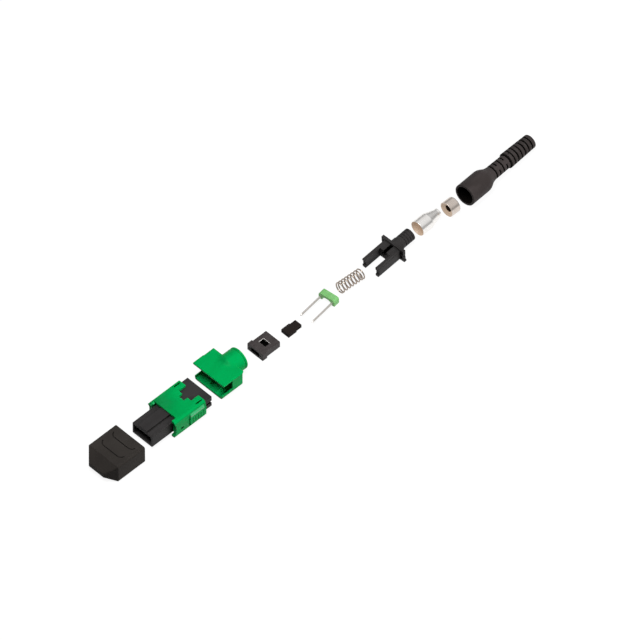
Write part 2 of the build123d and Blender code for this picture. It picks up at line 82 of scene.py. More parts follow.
class Slot(Enum):
    """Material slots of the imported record, and after them the finishes that some parts of a piece get."""

    CAP = "cap_plastic"
    BLACK = "black_plastic"
    GREEN = "green_plastic"
    FERRULE = "ferrule_resin"
    RUBBER = "black_rubber"
    PALE_GREEN = "light_green_plastic"
    PIN = "pin_steel"
    SPRING = "spring_steel"
    BRIGHT = "bright_metal"
    # Beige, glowing inner wall of the crimp tube and ring: painted light.
    BORE = "bore painted light"
    RING = "nickel ring"
    # Dark brown in the ring's narrow hole: painted shade.
    HOLE_SHADE = "dark hole"
    BOOT = "soft boot"
    # Near-black for hollows that lie in shade: painted shade.
    PAINTED_SHADE = "pit painted shade"
    # Lighter black for the cap nose's upper slopes: painted light.
    LIT_NOSE = "nose painted light"
    GLOSS = "glossy green"
    # Pale rim along the ferrule window's edges: painted highlight.
    RIM_HIGHLIGHT = "rim highlight"


class Lay(Enum):
    """Direction in which a metal piece was machined or drawn."""

    TURNED = "turned"
    DRAWN = "drawn"


# Places in the row


@lru_cache(maxsize=None)
def row_centre() -> tuple[float, float]:
    """Find the row's centre in its own millimetres, from the ring that lies square in it.

    Returns:
        How far the frame's origin lies behind the housing's nose, and how far to its left.
    """
    low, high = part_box("crimp_ring")
    return RING_PLACE[0] - low[0] * MM_PER_METRE, RING_PLACE[1] - (low[1] + high[1]) / 2 * MM_PER_METRE


@dataclass(frozen=True)
class Seat:
    """Where a piece lies: its front face's centre in the row, its height, yaw and tilt."""

    place: tuple[float, float]
    height: float
    yaw: float = 0.0
    tilt: float = 0.0

    def matrix(self) -> Matrix:
        """Work out where a piece's own axes lie.

        Returns:
            The matrix that takes a piece's own metres, with x rearward, to the frame.
        """
        centre = row_centre()
        spot = Vector((mm(self.place[0] - centre[0]), mm(self.place[1] - centre[1]), mm(self.height)))
        return (Matrix.Translation(spot) @ Matrix.Rotation(math.radians(self.yaw), 4, "Z")
                @ Matrix.Rotation(math.radians(self.tilt), 4, "Y"))

    def at(self, x: float, y: float, z: float) -> Vector:
        """Point of the frame at a piece's own place in millimetres."""
        return self.matrix() @ Vector((mm(x), mm(y), mm(z)))


# Shader node groups


@dataclass
class Graph:
    """A node tree with short calls for adding and joining its nodes."""

    tree: bpy.types.NodeTree
    column: int = 0

    def add(self, kind: str, **values: object) -> bpy.types.Node:
        """Add one node.

        Args:
            kind: Blender's type name of the node.
            values: Properties to set on it.

        Returns:
            The new node.
        """
        node = self.tree.nodes.new(kind)
        node.location = (self.column * 190, 0)
        self.column += 1
        for name, value in values.items():
            setattr(node, name, value)
        return node

    def join(self, source: bpy.types.NodeSocket, target: bpy.types.NodeSocket) -> None:
        """Join an output to an input."""
        self.tree.links.new(source, target)

    def feed(self, target: bpy.types.NodeSocket, value: object) -> None:
        """Give an input a value, or join it to an output.

        Args:
            target: The input.
            value: A number, a colour or an output socket.
        """
        if isinstance(value, bpy.types.NodeSocket):
            self.join(value, target)
        else:
            target.default_value = value

    def math(self, operation: str, first: object, second: object = 0.0,
             clamp: bool = False) -> bpy.types.NodeSocket:
        """Work out one operation on two values.

        Args:
            operation: Name of the operation.
            first: First value or socket.
            second: Second value or socket.
            clamp: Whether the result stays between 0 and 1.

        Returns:
            The result's socket.
        """
        node = self.add("ShaderNodeMath", operation=operation, use_clamp=clamp)
        self.feed(node.inputs[0], first)
        self.feed(node.inputs[1], second)
        return node.outputs[0]

    def span(self, value: object, low: float, high: float) -> bpy.types.NodeSocket:
        """Map a value smoothly from a range to 0 to 1.

        Args:
            value: Value or socket to map.
            low: Where it gives 0.
            high: Where it gives 1.

        Returns:
            The mapped value's socket.
        """
        node = self.add("ShaderNodeMapRange", interpolation_type="SMOOTHSTEP")
        self.feed(node.inputs["Value"], value)
        node.inputs["From Min"].default_value = low
        node.inputs["From Max"].default_value = high
        return node.outputs["Result"]

    def tint(self, factor: object, first: object, second: object) -> bpy.types.NodeSocket:
        """Mix two colours.

        Args:
            factor: How much of the second colour.
            first: First colour or socket.
            second: Second colour or socket.

        Returns:
            The mixed colour's socket.
        """
        node = self.add("ShaderNodeMix", data_type="RGBA")
        self.feed(node.inputs[0], factor)
        self.feed(node.inputs[6], first)
        self.feed(node.inputs[7], second)
        return node.outputs[2]

    def noise(self, scale: object, detail: float = 3.0, roughness: float = 0.5,
              place: bpy.types.NodeSocket | None = None) -> bpy.types.NodeSocket:
        """Add a noise texture.

        Args:
            scale: Features per metre, as a value or socket.
            detail: Octaves.
            roughness: Weight of the finer octaves.
            place: Socket of the point where it is read, or None for the object's own coordinates.

        Returns:
            The noise value's socket.
        """
        node = self.add("ShaderNodeTexNoise")
        self.join(place if place is not None else self.place(), node.inputs["Vector"])
        self.feed(node.inputs["Scale"], scale)
        node.inputs["Detail"].default_value = detail
        node.inputs["Roughness"].default_value = roughness
        return node.outputs["Fac"]

    def place(self) -> bpy.types.NodeSocket:
        """Socket of the object's own coordinates, in metres."""
        return self.add("ShaderNodeTexCoord").outputs["Object"]

    def red(self, colour: bpy.types.NodeSocket) -> bpy.types.NodeSocket:
        """Take a colour's red channel.

        Args:
            colour: Socket of the colour.

        Returns:
            The channel's socket.
        """
        split = self.add("ShaderNodeSeparateColor")
        self.join(colour, split.inputs[0])
        return split.outputs[0]


@dataclass
class Effect:
    """A shader node group that several finishes share."""

    name: str
    inputs: dict[str, float]
    outputs: Sequence[str]
    tree: bpy.types.NodeTree = field(init=False)
    graph: Graph = field(init=False)
    source: bpy.types.Node = field(init=False)
    sink: bpy.types.Node = field(init=False)

    def __post_init__(self) -> None:
        """Make the group's tree and its sockets."""
        self.tree = bpy.data.node_groups.new(self.name, "ShaderNodeTree")
        for name, value in self.inputs.items():
            socket = self.tree.interface.new_socket(name=name, in_out="INPUT", socket_type="NodeSocketFloat")
            socket.default_value = value
        for name in self.outputs:
            self.tree.interface.new_socket(name=name, in_out="OUTPUT", socket_type="NodeSocketFloat")
        self.graph = Graph(self.tree)
        self.source = self.graph.add("NodeGroupInput")
        self.sink = self.tree.nodes.new("NodeGroupOutput")

    def value(self, name: str) -> bpy.types.NodeSocket:
        """Socket inside the group of one of its inputs."""
        return self.source.outputs[name]

    def give(self, name: str, socket: bpy.types.NodeSocket) -> None:
        """Join a socket inside the group to one of its outputs."""
        self.graph.join(socket, self.sink.inputs[name])

    def placed(self, graph: Graph, **values: float) -> bpy.types.Node:
        """Place the group in a material.

        Args:
            graph: The material's graph.
            values: Inputs, with spaces in their names written as underscores.

        Returns:
            The group's node.
        """
        node = graph.add("ShaderNodeGroup", node_tree=self.tree)
        for name, value in values.items():
            node.inputs[name.replace("_", " ")].default_value = value
        return node


def spark_grain() -> Effect:
    """Build the fine pitted grain that a spark-eroded mould leaves.

    Returns:
        The effect, with a height and a shade from 0 to 1.
    """
    effect = Effect("spark_grain", {"Size": mm(0.12), "Softness": 0.5}, ("Height", "Shade"))
    g = effect.graph
    scale = g.math("DIVIDE", 1.0, effect.value("Size"))
    fine = g.noise(scale, 2.0, 0.6)
    coarse = g.noise(g.math("MULTIPLY", scale, 0.31), 2.0, 0.5)
    pits = g.math("ADD", g.math("MULTIPLY", fine, 0.65), g.math("MULTIPLY", coarse, 0.35))
    effect.give("Height", g.math("POWER", pits, g.math("ADD", effect.value("Softness"), 0.5)))
    effect.give("Shade", g.span(pits, 0.35, 0.65))
    return effect


def edge_wear_and_highlight() -> Effect:
    """Build the mask of edges that handling has polished, which are lightened as wear and as a painted
    highlight.

    Returns:
        The effect, with a mask from 0 on faces to 1 on worn edges that carry the painted highlight.
    """
    effect = Effect("edge_wear_and_highlight", {"Width": mm(0.12), "Patchiness": 0.5}, ("Mask",))
    g = effect.graph
    rounded = g.add("ShaderNodeBevel", samples=6)
    g.join(effect.value("Width"), rounded.inputs["Radius"])
    flat = g.add("ShaderNodeNewGeometry")
    dot = g.add("ShaderNodeVectorMath", operation="DOT_PRODUCT")
    g.join(rounded.outputs["Normal"], dot.inputs[0])
    g.join(flat.outputs["True Normal"], dot.inputs[1])
    edge = g.span(dot.outputs["Value"], 0.995, 0.86)
    patches = g.span(g.noise(g.math("DIVIDE", 0.22, effect.value("Width")), 3.0, 0.6), 0.38, 0.62)
    kept = g.math("SUBTRACT", 1.0, g.math("MULTIPLY", effect.value("Patchiness"), patches))
    effect.give("Mask", g.math("MULTIPLY", edge, kept, clamp=True))
    return effect


def flow_mottle() -> Effect:
    """Build the slow change of shade that melt flow leaves in a moulding.

    Returns:
        The effect, with a factor from 0 to 1.
    """
    effect = Effect("flow_mottle", {"Size": mm(4.0), "Stretch": 1.0}, ("Factor",))
    g = effect.graph
    split = g.add("ShaderNodeSeparateXYZ")
    g.join(g.place(), split.inputs[0])
    joined = g.add("ShaderNodeCombineXYZ")
    g.join(g.math("DIVIDE", split.outputs["X"], effect.value("Stretch")), joined.inputs["X"])
    g.join(split.outputs["Y"], joined.inputs["Y"])
    g.join(split.outputs["Z"], joined.inputs["Z"])
    cloud = g.noise(g.math("DIVIDE", 1.0, effect.value("Size")), 2.0, 0.5, joined.outputs[0])
    effect.give("Factor", g.span(cloud, 0.3, 0.7))
    return effect


def bench_dust() -> Effect:
    """Build the few pale specks that settle on upward faces.

    Returns:
        The effect, with a mask from 0 to 1.
    """
    effect = Effect("bench_dust", {"Size": mm(0.35), "Cover": 0.2}, ("Mask",))
    g = effect.graph
    cells = g.add("ShaderNodeTexVoronoi", feature="F1")
    g.join(g.place(), cells.inputs["Vector"])
    g.join(g.math("DIVIDE", 1.0, effect.value("Size")), cells.inputs["Scale"])
    spot = g.span(cells.outputs["Distance"], 0.16, 0.05)
    some = g.math("LESS_THAN", g.red(cells.outputs["Color"]), effect.value("Cover"))
    up = g.add("ShaderNodeSeparateXYZ")
    g.join(g.add("ShaderNodeNewGeometry").outputs["Normal"], up.inputs[0])
    lying = g.span(up.outputs["Z"], 0.2, 0.9)
    effect.give("Mask", g.math("MULTIPLY", g.math("MULTIPLY", spot, some), lying))
    return effect


def deep_recess() -> Effect:
    """Build the mask of places that little light gets into.

    Returns:
        The effect, with a mask from 0 in the open to 1 deep in a hollow.
    """
    effect = Effect("deep_recess", {"Reach": mm(2.5)}, ("Mask",))
    g = effect.graph
    open_sky = g.add("ShaderNodeAmbientOcclusion", samples=8, only_local=True)
    g.join(effect.value("Reach"), open_sky.inputs["Distance"])
    effect.give("Mask", g.span(open_sky.outputs["AO"], 0.80, 0.30))
    return effect


def tool_marks() -> Effect:
    """Build the fine lines that a lathe or a drawing die leaves on metal.

    Returns:
        The effect, with a height and a shade from 0 to 1. Turned is 1 for rings and 0 for lengthwise lines.
    """
    effect = Effect("tool_marks", {"Pitch": mm(0.1), "Turned": 1.0}, ("Height", "Shade"))
    g = effect.graph
    split = g.add("ShaderNodeSeparateXYZ")
    g.join(g.place(), split.inputs[0])
    turned = effect.value("Turned")
    along = g.math("ADD", g.math("MULTIPLY", turned, 0.97), 0.03)
    across = g.math("SUBTRACT", 1.0, g.math("MULTIPLY", turned, 0.97))
    joined = g.add("ShaderNodeCombineXYZ")
    g.join(g.math("MULTIPLY", split.outputs["X"], along), joined.inputs["X"])
    g.join(g.math("MULTIPLY", split.outputs["Y"], across), joined.inputs["Y"])
    g.join(g.math("MULTIPLY", split.outputs["Z"], across), joined.inputs["Z"])
    lines = g.noise(g.math("DIVIDE", 1.0, effect.value("Pitch")), 2.0, 0.7, joined.outputs[0])
    effect.give("Height", lines)
    effect.give("Shade", g.span(lines, 0.35, 0.65))
    return effect


@dataclass
class Effects:
    """The shared node groups, each built once."""

    grain: Effect = field(default_factory=spark_grain)
    wear_and_highlight: Effect = field(default_factory=edge_wear_and_highlight)
    mottle: Effect = field(default_factory=flow_mottle)
    dust: Effect = field(default_factory=bench_dust)
    recess: Effect = field(default_factory=deep_recess)
    marks: Effect = field(default_factory=tool_marks)


# Finishes


@dataclass(frozen=True)
class Moulding:
    """Moulded plastic or rubber: its colour, gloss, mould grain, edges lightened by wear and a painted
    highlight, painted shade in its hollows and, for some, painted light as a glow.
    """

    name: str
    colour: Colour
    shade: Colour
    # Paler colour of worn edges, partly wear and partly a painted highlight.
    worn_and_lit: Colour
    # Colour toward which hollows darken: painted shade.
    deep: Colour
    reach: float = 2.5
    roughness: float = 0.5
    roughness_spread: float = 0.12
    specular: float = 0.22
    specular_tint: Colour = (1.0, 1.0, 1.0)
    grain: float = 0.12
    grain_depth: float = 0.010
    mottle: float = 4.0
    # Width and strength of that edge lightening, wear and painted highlight together.
    wear_and_highlight_width: float = 0.12
    wear_and_highlight_amount: float = 0.35
    dust: float = 0.0
    edge_round: float = 0.10
    sheen: float = 0.0
    translucence: float = 0.0
    scatter: float = 0.8
    # Emission of the base colour: painted light, standing in for light through the clamp and inside the crimp
    # bores.
    glow: float = 0.0

    def made(self, effects: Effects) -> bpy.types.Material:
        """Build the material.

        Args:
            effects: The shared node groups.

        Returns:
            The new material.
        """
        material, g, shader = new_material(self.name)
        mottle = effects.mottle.placed(g, Size=mm(self.mottle), Stretch=2.5)
        grain = effects.grain.placed(g, Size=mm(self.grain))
        wear_and_highlight = effects.wear_and_highlight.placed(g, Width=mm(self.wear_and_highlight_width))
        recess = effects.recess.placed(g, Reach=mm(self.reach))
        base = g.tint(mottle.outputs["Factor"], (*self.colour, 1.0), (*self.shade, 1.0))
        # Painted shade: the colour darkens toward the deep colour where the occlusion mask finds a hollow.
        base = g.tint(recess.outputs["Mask"], base, (*self.deep, 1.0))
        # Edges lighten toward the paler colour: partly wear, partly a painted highlight.
        worn_and_lit = g.math("MULTIPLY", wear_and_highlight.outputs["Mask"], self.wear_and_highlight_amount)
        base = g.tint(worn_and_lit, base, (*self.worn_and_lit, 1.0))
        if self.dust > 0.0:
            dust = effects.dust.placed(g, Cover=self.dust)
            base = g.tint(g.math("MULTIPLY", dust.outputs["Mask"], 0.35), base, (0.45, 0.43, 0.41, 1.0))
        g.join(base, shader.inputs["Base Color"])
        rough = g.math("ADD", g.math("MULTIPLY", grain.outputs["Shade"], self.roughness_spread),
                       self.roughness - self.roughness_spread / 2)
        rough = g.math("ADD", rough, g.math("MULTIPLY", recess.outputs["Mask"], 0.35))
        g.join(g.math("SUBTRACT", rough, g.math("MULTIPLY", worn_and_lit, 0.18)), shader.inputs["Roughness"])
        shader.inputs["Specular IOR Level"].default_value = self.specular
        shader.inputs["Specular Tint"].default_value = (*self.specular_tint, 1.0)
        if self.sheen > 0.0:
            shader.inputs["Sheen Weight"].default_value = self.sheen
            shader.inputs["Sheen Roughness"].default_value = 0.5
        # Painted light: the surface glows in its own colour though it is no lamp.
        if self.glow > 0.0:
            g.join(base, shader.inputs["Emission Color"])
            shader.inputs["Emission Strength"].default_value = self.glow
        if self.translucence > 0.0:
            shader.inputs["Subsurface Weight"].default_value = self.translucence
            shader.inputs["Subsurface Scale"].default_value = mm(self.scatter)
            shader.inputs["Subsurface Radius"].default_value = (0.6, 1.0, 0.5)
        round_edge(g, shader, grain.outputs["Height"], mm(self.grain_depth), mm(self.edge_round))
        return material


@dataclass(frozen=True)
class Metal:
    """Bare metal: its colour, polish and tool marks."""

    name: str
    colour: Colour
    shade: Colour
    roughness: float = 0.22
    roughness_spread: float = 0.14
    lay: Lay = Lay.TURNED
    pitch: float = 0.10
    mark_depth: float = 0.0015
    mottle: float = 2.5
    edge_round: float = 0.06

    def made(self, effects: Effects) -> bpy.types.Material:
        """Build the material.

        Args:
            effects: The shared node groups.

        Returns:
            The new material.
        """
        material, g, shader = new_material(self.name)
        marks = effects.marks.placed(g, Pitch=mm(self.pitch), Turned=1.0 if self.lay is Lay.TURNED else 0.0)
        mottle = effects.mottle.placed(g, Size=mm(self.mottle))
        tint = g.math("ADD", g.math("MULTIPLY", mottle.outputs["Factor"], 0.6),
                      g.math("MULTIPLY", marks.outputs["Shade"], 0.4))
        g.join(g.tint(tint, (*self.colour, 1.0), (*self.shade, 1.0)), shader.inputs["Base Color"])
        shader.inputs["Metallic"].default_value = 1.0
        rough = g.math("ADD", g.math("MULTIPLY", marks.outputs["Shade"], self.roughness_spread),
                       self.roughness - self.roughness_spread / 2)
        g.join(rough, shader.inputs["Roughness"])
        round_edge(g, shader, marks.outputs["Height"], mm(self.mark_depth), mm(self.edge_round))
        return material


def empty_material(name: str) -> tuple[bpy.types.Material, Graph]:
    """Make a material with no nodes.

    Args:
        name: Name of the material.

    Returns:
        The material and its graph.
    """
    material = bpy.data.materials.new(name)
    material.use_nodes = True
    material.node_tree.nodes.clear()
    return material, Graph(material.node_tree)


def new_material(name: str) -> tuple[bpy.types.Material, Graph, bpy.types.Node]:
    """Make a material with its shader and nothing else.

    Args:
        name: Name of the material.

    Returns:
        The material, its graph and its Principled shader.
    """
    material, g = empty_material(name)
    shader = g.add("ShaderNodeBsdfPrincipled")
    out = g.add("ShaderNodeOutputMaterial")
    g.join(shader.outputs[0], out.inputs["Surface"])
    return material, g, shader


def round_edge(g: Graph, shader: bpy.types.Node, height: bpy.types.NodeSocket, depth: float,
               radius: float) -> None:
    """Give a shader its surface relief over edges that catch the light as rounded.

    Args:
        g: The material's graph.
        shader: Its Principled shader.
        height: Socket of the relief's height.
        depth: How deep the relief is, in metres.
        radius: Radius that the edges show, in metres.
    """
    rounded = g.add("ShaderNodeBevel", samples=6)
    rounded.inputs["Radius"].default_value = radius
    bump = g.add("ShaderNodeBump")
    bump.inputs["Distance"].default_value = depth
    bump.inputs["Strength"].default_value = 1.0
    g.join(height, bump.inputs["Height"])
    g.join(rounded.outputs["Normal"], bump.inputs["Normal"])
    g.join(bump.outputs["Normal"], shader.inputs["Normal"])


FINISHES: dict[Slot, Moulding | Metal] = {
    Slot.CAP: Moulding("cap_black", (0.027, 0.0235, 0.021), (0.033, 0.029, 0.026), (0.075, 0.07, 0.065),
                       (0.005, 0.004, 0.004), roughness=0.62, grain=0.16, grain_depth=0.016, wear_and_highlight_amount=0.3,
                       edge_round=0.22, specular=0.07, dust=0.05),
    Slot.BLACK: Moulding("housing_black", (0.027, 0.025, 0.025), (0.036, 0.034, 0.034), (0.11, 0.105, 0.10),
                         (0.004, 0.0035, 0.003), roughness=0.45, grain=0.10, grain_depth=0.008, wear_and_highlight_amount=0.4,
                         specular=0.07, dust=0.03),
    Slot.GREEN: Moulding("sleeve_green", (0.0, 0.325, 0.072), (0.0, 0.360, 0.083), (0.03, 0.47, 0.15),
                         (0.0, 0.20, 0.006), roughness=0.40, grain=0.10, grain_depth=0.007, wear_and_highlight_amount=0.3,
                         specular=0.08, specular_tint=(0.25, 1.0, 0.55), translucence=0.06),
    # The ferrule's strong pale edge lightening is mostly a painted highlight along its edges.
    Slot.FERRULE: Moulding("ferrule_black", (0.045, 0.038, 0.038), (0.058, 0.050, 0.050), (0.22, 0.21, 0.205),
                           (0.003, 0.0025, 0.002), reach=1.6, roughness=0.36, grain=0.07, grain_depth=0.004,
                           wear_and_highlight_amount=0.5, specular=0.10, mottle=1.2),
    Slot.RUBBER: Moulding("rubber_black", (0.033, 0.027, 0.026), (0.046, 0.038, 0.037), (0.07, 0.062, 0.058),
                          (0.0015, 0.0015, 0.0015), reach=5.0, roughness=0.60, grain=0.14, grain_depth=0.012,
                          wear_and_highlight_amount=0.25, specular=0.08, edge_round=0.18, sheen=0.05, dust=0.06),
    # The clamp's glow is painted light for light passing through it.
    Slot.PALE_GREEN: Moulding("clamp_green", (0.145, 0.36, 0.12), (0.17, 0.40, 0.145), (0.25, 0.48, 0.21),
                              (0.09, 0.26, 0.07), reach=1.2, roughness=0.45, grain=0.08, grain_depth=0.006,
                              wear_and_highlight_amount=0.2, mottle=1.5, translucence=0.2, glow=0.35),
    Slot.PIN: Metal("pin_steel", (0.72, 0.68, 0.645), (0.64, 0.60, 0.56), roughness=0.36, lay=Lay.DRAWN,
                    pitch=0.12, mark_depth=0.0004),
    Slot.SPRING: Metal("spring_steel", (0.44, 0.37, 0.315), (0.33, 0.265, 0.215), roughness=0.22, lay=Lay.DRAWN,
                       pitch=0.06, mark_depth=0.0010, mottle=1.2),
    Slot.BRIGHT: Metal("bright_metal", (0.97, 0.95, 0.925), (0.93, 0.90, 0.87), roughness=0.26, lay=Lay.TURNED,
                       pitch=0.09, mark_depth=0.0016),
    # Painted light: a beige, glowing wall in place of the lit metal bore.
    Slot.BORE: Moulding("bore_painted_light", (0.40, 0.30, 0.22), (0.45, 0.345, 0.26), (0.55, 0.46, 0.38),
                        (0.34, 0.25, 0.18), roughness=0.40, grain=0.12, grain_depth=0.002, specular=0.5,
                        mottle=1.2, glow=0.5),
    # Painted shade for the ring's narrow hole.
    Slot.HOLE_SHADE: Moulding("hole_painted_shade", (0.06, 0.035, 0.02), (0.08, 0.05, 0.03), (0.10, 0.07, 0.05),
                        (0.02, 0.01, 0.006), roughness=0.6, specular=0.05),
    Slot.BOOT: Moulding("boot_rubber", (0.016, 0.012, 0.011), (0.023, 0.018, 0.016), (0.04, 0.035, 0.032),
                        (0.003, 0.003, 0.003), roughness=0.62, grain=0.14, grain_depth=0.014, specular=0.06,
                        edge_round=0.18),
    # Painted light: the cap's nose slopes get a lighter black than the rest of the cap.
    Slot.LIT_NOSE: Moulding("nose_painted_light", (0.037, 0.032, 0.029), (0.044, 0.038, 0.034), (0.08, 0.075, 0.07),
                        (0.005, 0.004, 0.004), roughness=0.62, grain=0.16, grain_depth=0.016, wear_and_highlight_amount=0.3,
                        edge_round=0.22, specular=0.07, dust=0.05),
    # Painted shade: near-black laid into the ferrule's window and pocket, the push's slit and the relief's
    # slots and cup.
    Slot.PAINTED_SHADE: Moulding("pit_painted_shade", (0.003, 0.0025, 0.0022), (0.005, 0.004, 0.0035), (0.02, 0.018, 0.016),
                       (0.001, 0.001, 0.001), roughness=0.7, specular=0.03),
    Slot.GLOSS: Moulding("glossy_green", (0.02, 0.42, 0.14), (0.02, 0.44, 0.15), (0.10, 0.55, 0.25),
                         (0.0, 0.17, 0.022), roughness=0.28, specular=0.9, translucence=0.06),
    # Painted highlight: a pale rim along the window's left and rear edges.
    Slot.RIM_HIGHLIGHT: Moulding("rim_painted_highlight", (0.50, 0.48, 0.46), (0.56, 0.54, 0.52), (0.60, 0.58, 0.56),
                         (0.20, 0.19, 0.18), roughness=0.3, specular=0.5),
    Slot.RING: Metal("nickel_ring", (0.76, 0.68, 0.62), (0.64, 0.56, 0.50), roughness=0.26, lay=Lay.TURNED,
                     pitch=0.09, mark_depth=0.0016),
}


@dataclass
class Workshop:
    """Builds the materials and puts pieces into the frame."""

    effects: Effects = field(default_factory=Effects)
    materials: dict[Slot, bpy.types.Material] = field(init=False)

    def __post_init__(self) -> None:
        """Build one material for each slot."""
        self.materials = {slot: finish.made(self.effects) for slot, finish in FINISHES.items()}

    def dress(self, piece: bpy.types.Object, slot: Slot) -> None:
        """Give a piece one finish all over.

        Args:
            piece: The piece.
            slot: Which finish.
        """
        piece.data.materials.clear()
        piece.data.materials.append(self.materials[slot])

    def paint(self, piece: bpy.types.Object, seat: Seat, where: FaceTest, slot: Slot) -> None:
        """Give some faces of a piece another finish.

        Args:
            piece: The piece.
            seat: Where it lies.
            where: Tells whether a face is meant, from its middle in the piece's own millimetres and its normal.
            slot: The other finish.
        """
        piece.data.materials.append(self.materials[slot])
        own = seat.matrix().inverted()
        for face in piece.data.polygons:
            if where(own @ face.center * MM_PER_METRE, own.to_3x3() @ face.normal):
                face.material_index = len(piece.data.materials) - 1

    def keep(self, node: str, slot: Slot) -> None:
        """Dress a CAD node whose shape is right as it is.

        Args:
            node: The node's name.
            slot: Its finish.
        """
        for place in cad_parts[node].material_slots:
            place.material = self.materials[slot]
        LOG.info("kept %s in %s", node, slot.value)

    def stand_in(self, piece: bpy.types.Object, node: str, slot: Slot,
                 body: str = PLUG_BODY) -> bpy.types.Object:
        """Put a piece in a CAD node's place.

        Args:
            piece: The piece.
            node: The node that it stands for.
            slot: Its finish.
            body: The body that it moves with.

        Returns:
            The piece.
        """
        self.add(piece, slot, body)
        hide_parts(node)
        return piece

    def add(self, piece: bpy.types.Object, slot: Slot, body: str = PLUG_BODY) -> bpy.types.Object:
        """Put a further piece into the frame.

        Args:
            piece: The piece.
            slot: Its finish.
            body: The body that it moves with.

        Returns:
            The piece.
        """
        self.dress(piece, slot)
        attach(piece, body)
        LOG.info("built %s on %s in %s", piece.name, body, slot.value)
        return piece


# Meshes


def linked(name: str, data: bpy.types.ID) -> bpy.types.Object:
    """Make an object in the scene.

    Args:
        name: Its name.
        data: Its mesh, curve, lamp or camera data.

    Returns:
        The new object.
    """
    piece = bpy.data.objects.new(name, data)
    bpy.context.scene.collection.objects.link(piece)
    return piece


def meshed(name: str, bm: bmesh.types.BMesh) -> bpy.types.Object:
    """Make an object in the scene from a mesh that is being edited, and end the edit.

    Args:
        name: Its name.
        bm: The mesh.

    Returns:
        The new object.
    """
    mesh = bpy.data.meshes.new(name)
    bm.to_mesh(mesh)
    bm.free()
    return linked(name, mesh)


def copied(node: str, name: str) -> bpy.types.Object:
    """Copy a CAD node's mesh into a piece of its own.

    Args:
        node: The node.
        name: Name of the new piece.

    Returns:
        The new piece.
    """
    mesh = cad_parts[node].data.copy()
    mesh.name = name
    return linked(name, mesh)


def baked(piece: bpy.types.Object) -> bpy.types.Object:
    """Replace a piece by the mesh that its curve or its modifiers make.

    Args:
        piece: The piece.

    Returns:
        The new piece, with the same name.
    """
    name = piece.name
    graph = bpy.context.evaluated_depsgraph_get()
    mesh = bpy.data.meshes.new_from_object(piece.evaluated_get(graph), depsgraph=graph)
    bpy.data.objects.remove(piece)
    mesh.name = name
    mesh.shade_smooth()
    return linked(name, mesh)


def softened(node: str, name: str, width: float, segments: int = 2, crease: float = 28.0,
             shortest: float = 0.25) -> bpy.types.Object:
    """Copy a CAD node's mesh and round its edges.

    Args:
        node: The node.
        name: Name of the new piece.
        width: Width of the rounding, in millimetres.
        segments: Faces across the rounding.
        crease: Smallest angle between two faces whose edge is rounded, in degrees.
        shortest: Shortest edge that is rounded, in millimetres.

    Returns:
        The new piece.
    """
    piece = copied(node, name)
    bm = bmesh.new()
    bm.from_mesh(piece.data)
    bmesh.ops.remove_doubles(bm, verts=bm.verts, dist=mm(0.001))
    bmesh.ops.dissolve_limit(bm, angle_limit=math.radians(0.6), verts=bm.verts, edges=bm.edges)
    sharp = [e for e in bm.edges if len(e.link_faces) == 2 and e.calc_face_angle(0.0) > math.radians(crease)
             and e.calc_length() > mm(shortest)]
    bmesh.ops.bevel(bm, geom=sharp, offset=mm(width), offset_type="OFFSET", segments=segments, profile=0.5,
                    affect="EDGES", clamp_overlap=True)
    bm.to_mesh(piece.data)
    bm.free()
    return smoothed(piece)


def melted(node: str, name: str, voxel: float, passes: int = 6) -> bpy.types.Object:
    """Copy a CAD node's mesh as one skin whose edges and inner corners flow into each other.

    Args:
        node: The node.
        name: Name of the new piece.
        voxel: Size of the skin's faces, in millimetres.
        passes: How often the skin is relaxed.

    Returns:
        The new piece.
    """
    piece = copied(node, name)
    skin = piece.modifiers.new("skin", "REMESH")
    skin.mode = "VOXEL"
    skin.voxel_size = mm(voxel)
    relax = piece.modifiers.new("relax", "SMOOTH")
    relax.factor = 0.5
    relax.iterations = passes
    piece = baked(piece)
    LOG.info("%s has %d faces", name, len(piece.data.polygons))
    return piece


def cut(piece: bpy.types.Object, cutter: bpy.types.Object) -> None:
    """Cut one mesh out of another.

    Args:
        piece: The piece that is cut.
        cutter: The mesh that is taken out, which is then gone.
    """
    taken = piece.modifiers.new("cut", "BOOLEAN")
    taken.operation = "DIFFERENCE"
    taken.solver = "EXACT"
    taken.object = cutter
    graph = bpy.context.evaluated_depsgraph_get()
    made = bpy.data.meshes.new_from_object(piece.evaluated_get(graph), depsgraph=graph)
    piece.modifiers.clear()
    piece.data = made
    bpy.data.objects.remove(cutter)


def faces_axis(spot: Vector, normal: Vector) -> bool:
    """Whether a face of a turned piece looks at its axis."""
    return spot.y * normal.y + spot.z * normal.z < 0.0 and abs(normal.x) < 0.9


def hulled(name: str, seat: Seat, corners: Iterable[Point], width: float = 0.0) -> bpy.types.Object:
    """Stretch a skin over points, with rounded edges.

    Args:
        name: Name of the new piece.
        seat: Where it lies.
        corners: The points, in the piece's own millimetres.
        width: Width of the rounding, in millimetres.

    Returns:
        The new piece.
    """
    bm = bmesh.new()
    for corner in corners:
        bm.verts.new(seat.at(*corner))
    bmesh.ops.convex_hull(bm, input=bm.verts)
    bmesh.ops.dissolve_limit(bm, angle_limit=math.radians(1.0), verts=bm.verts, edges=bm.edges)
    if width > 0.0:
        bmesh.ops.bevel(bm, geom=list(bm.edges), offset=mm(width), offset_type="OFFSET", segments=2,
                        profile=0.5, affect="EDGES", clamp_overlap=True)
    bmesh.ops.recalc_face_normals(bm, faces=bm.faces)
    piece = meshed(name, bm)
    return smoothed(piece) if width > 0.0 else piece


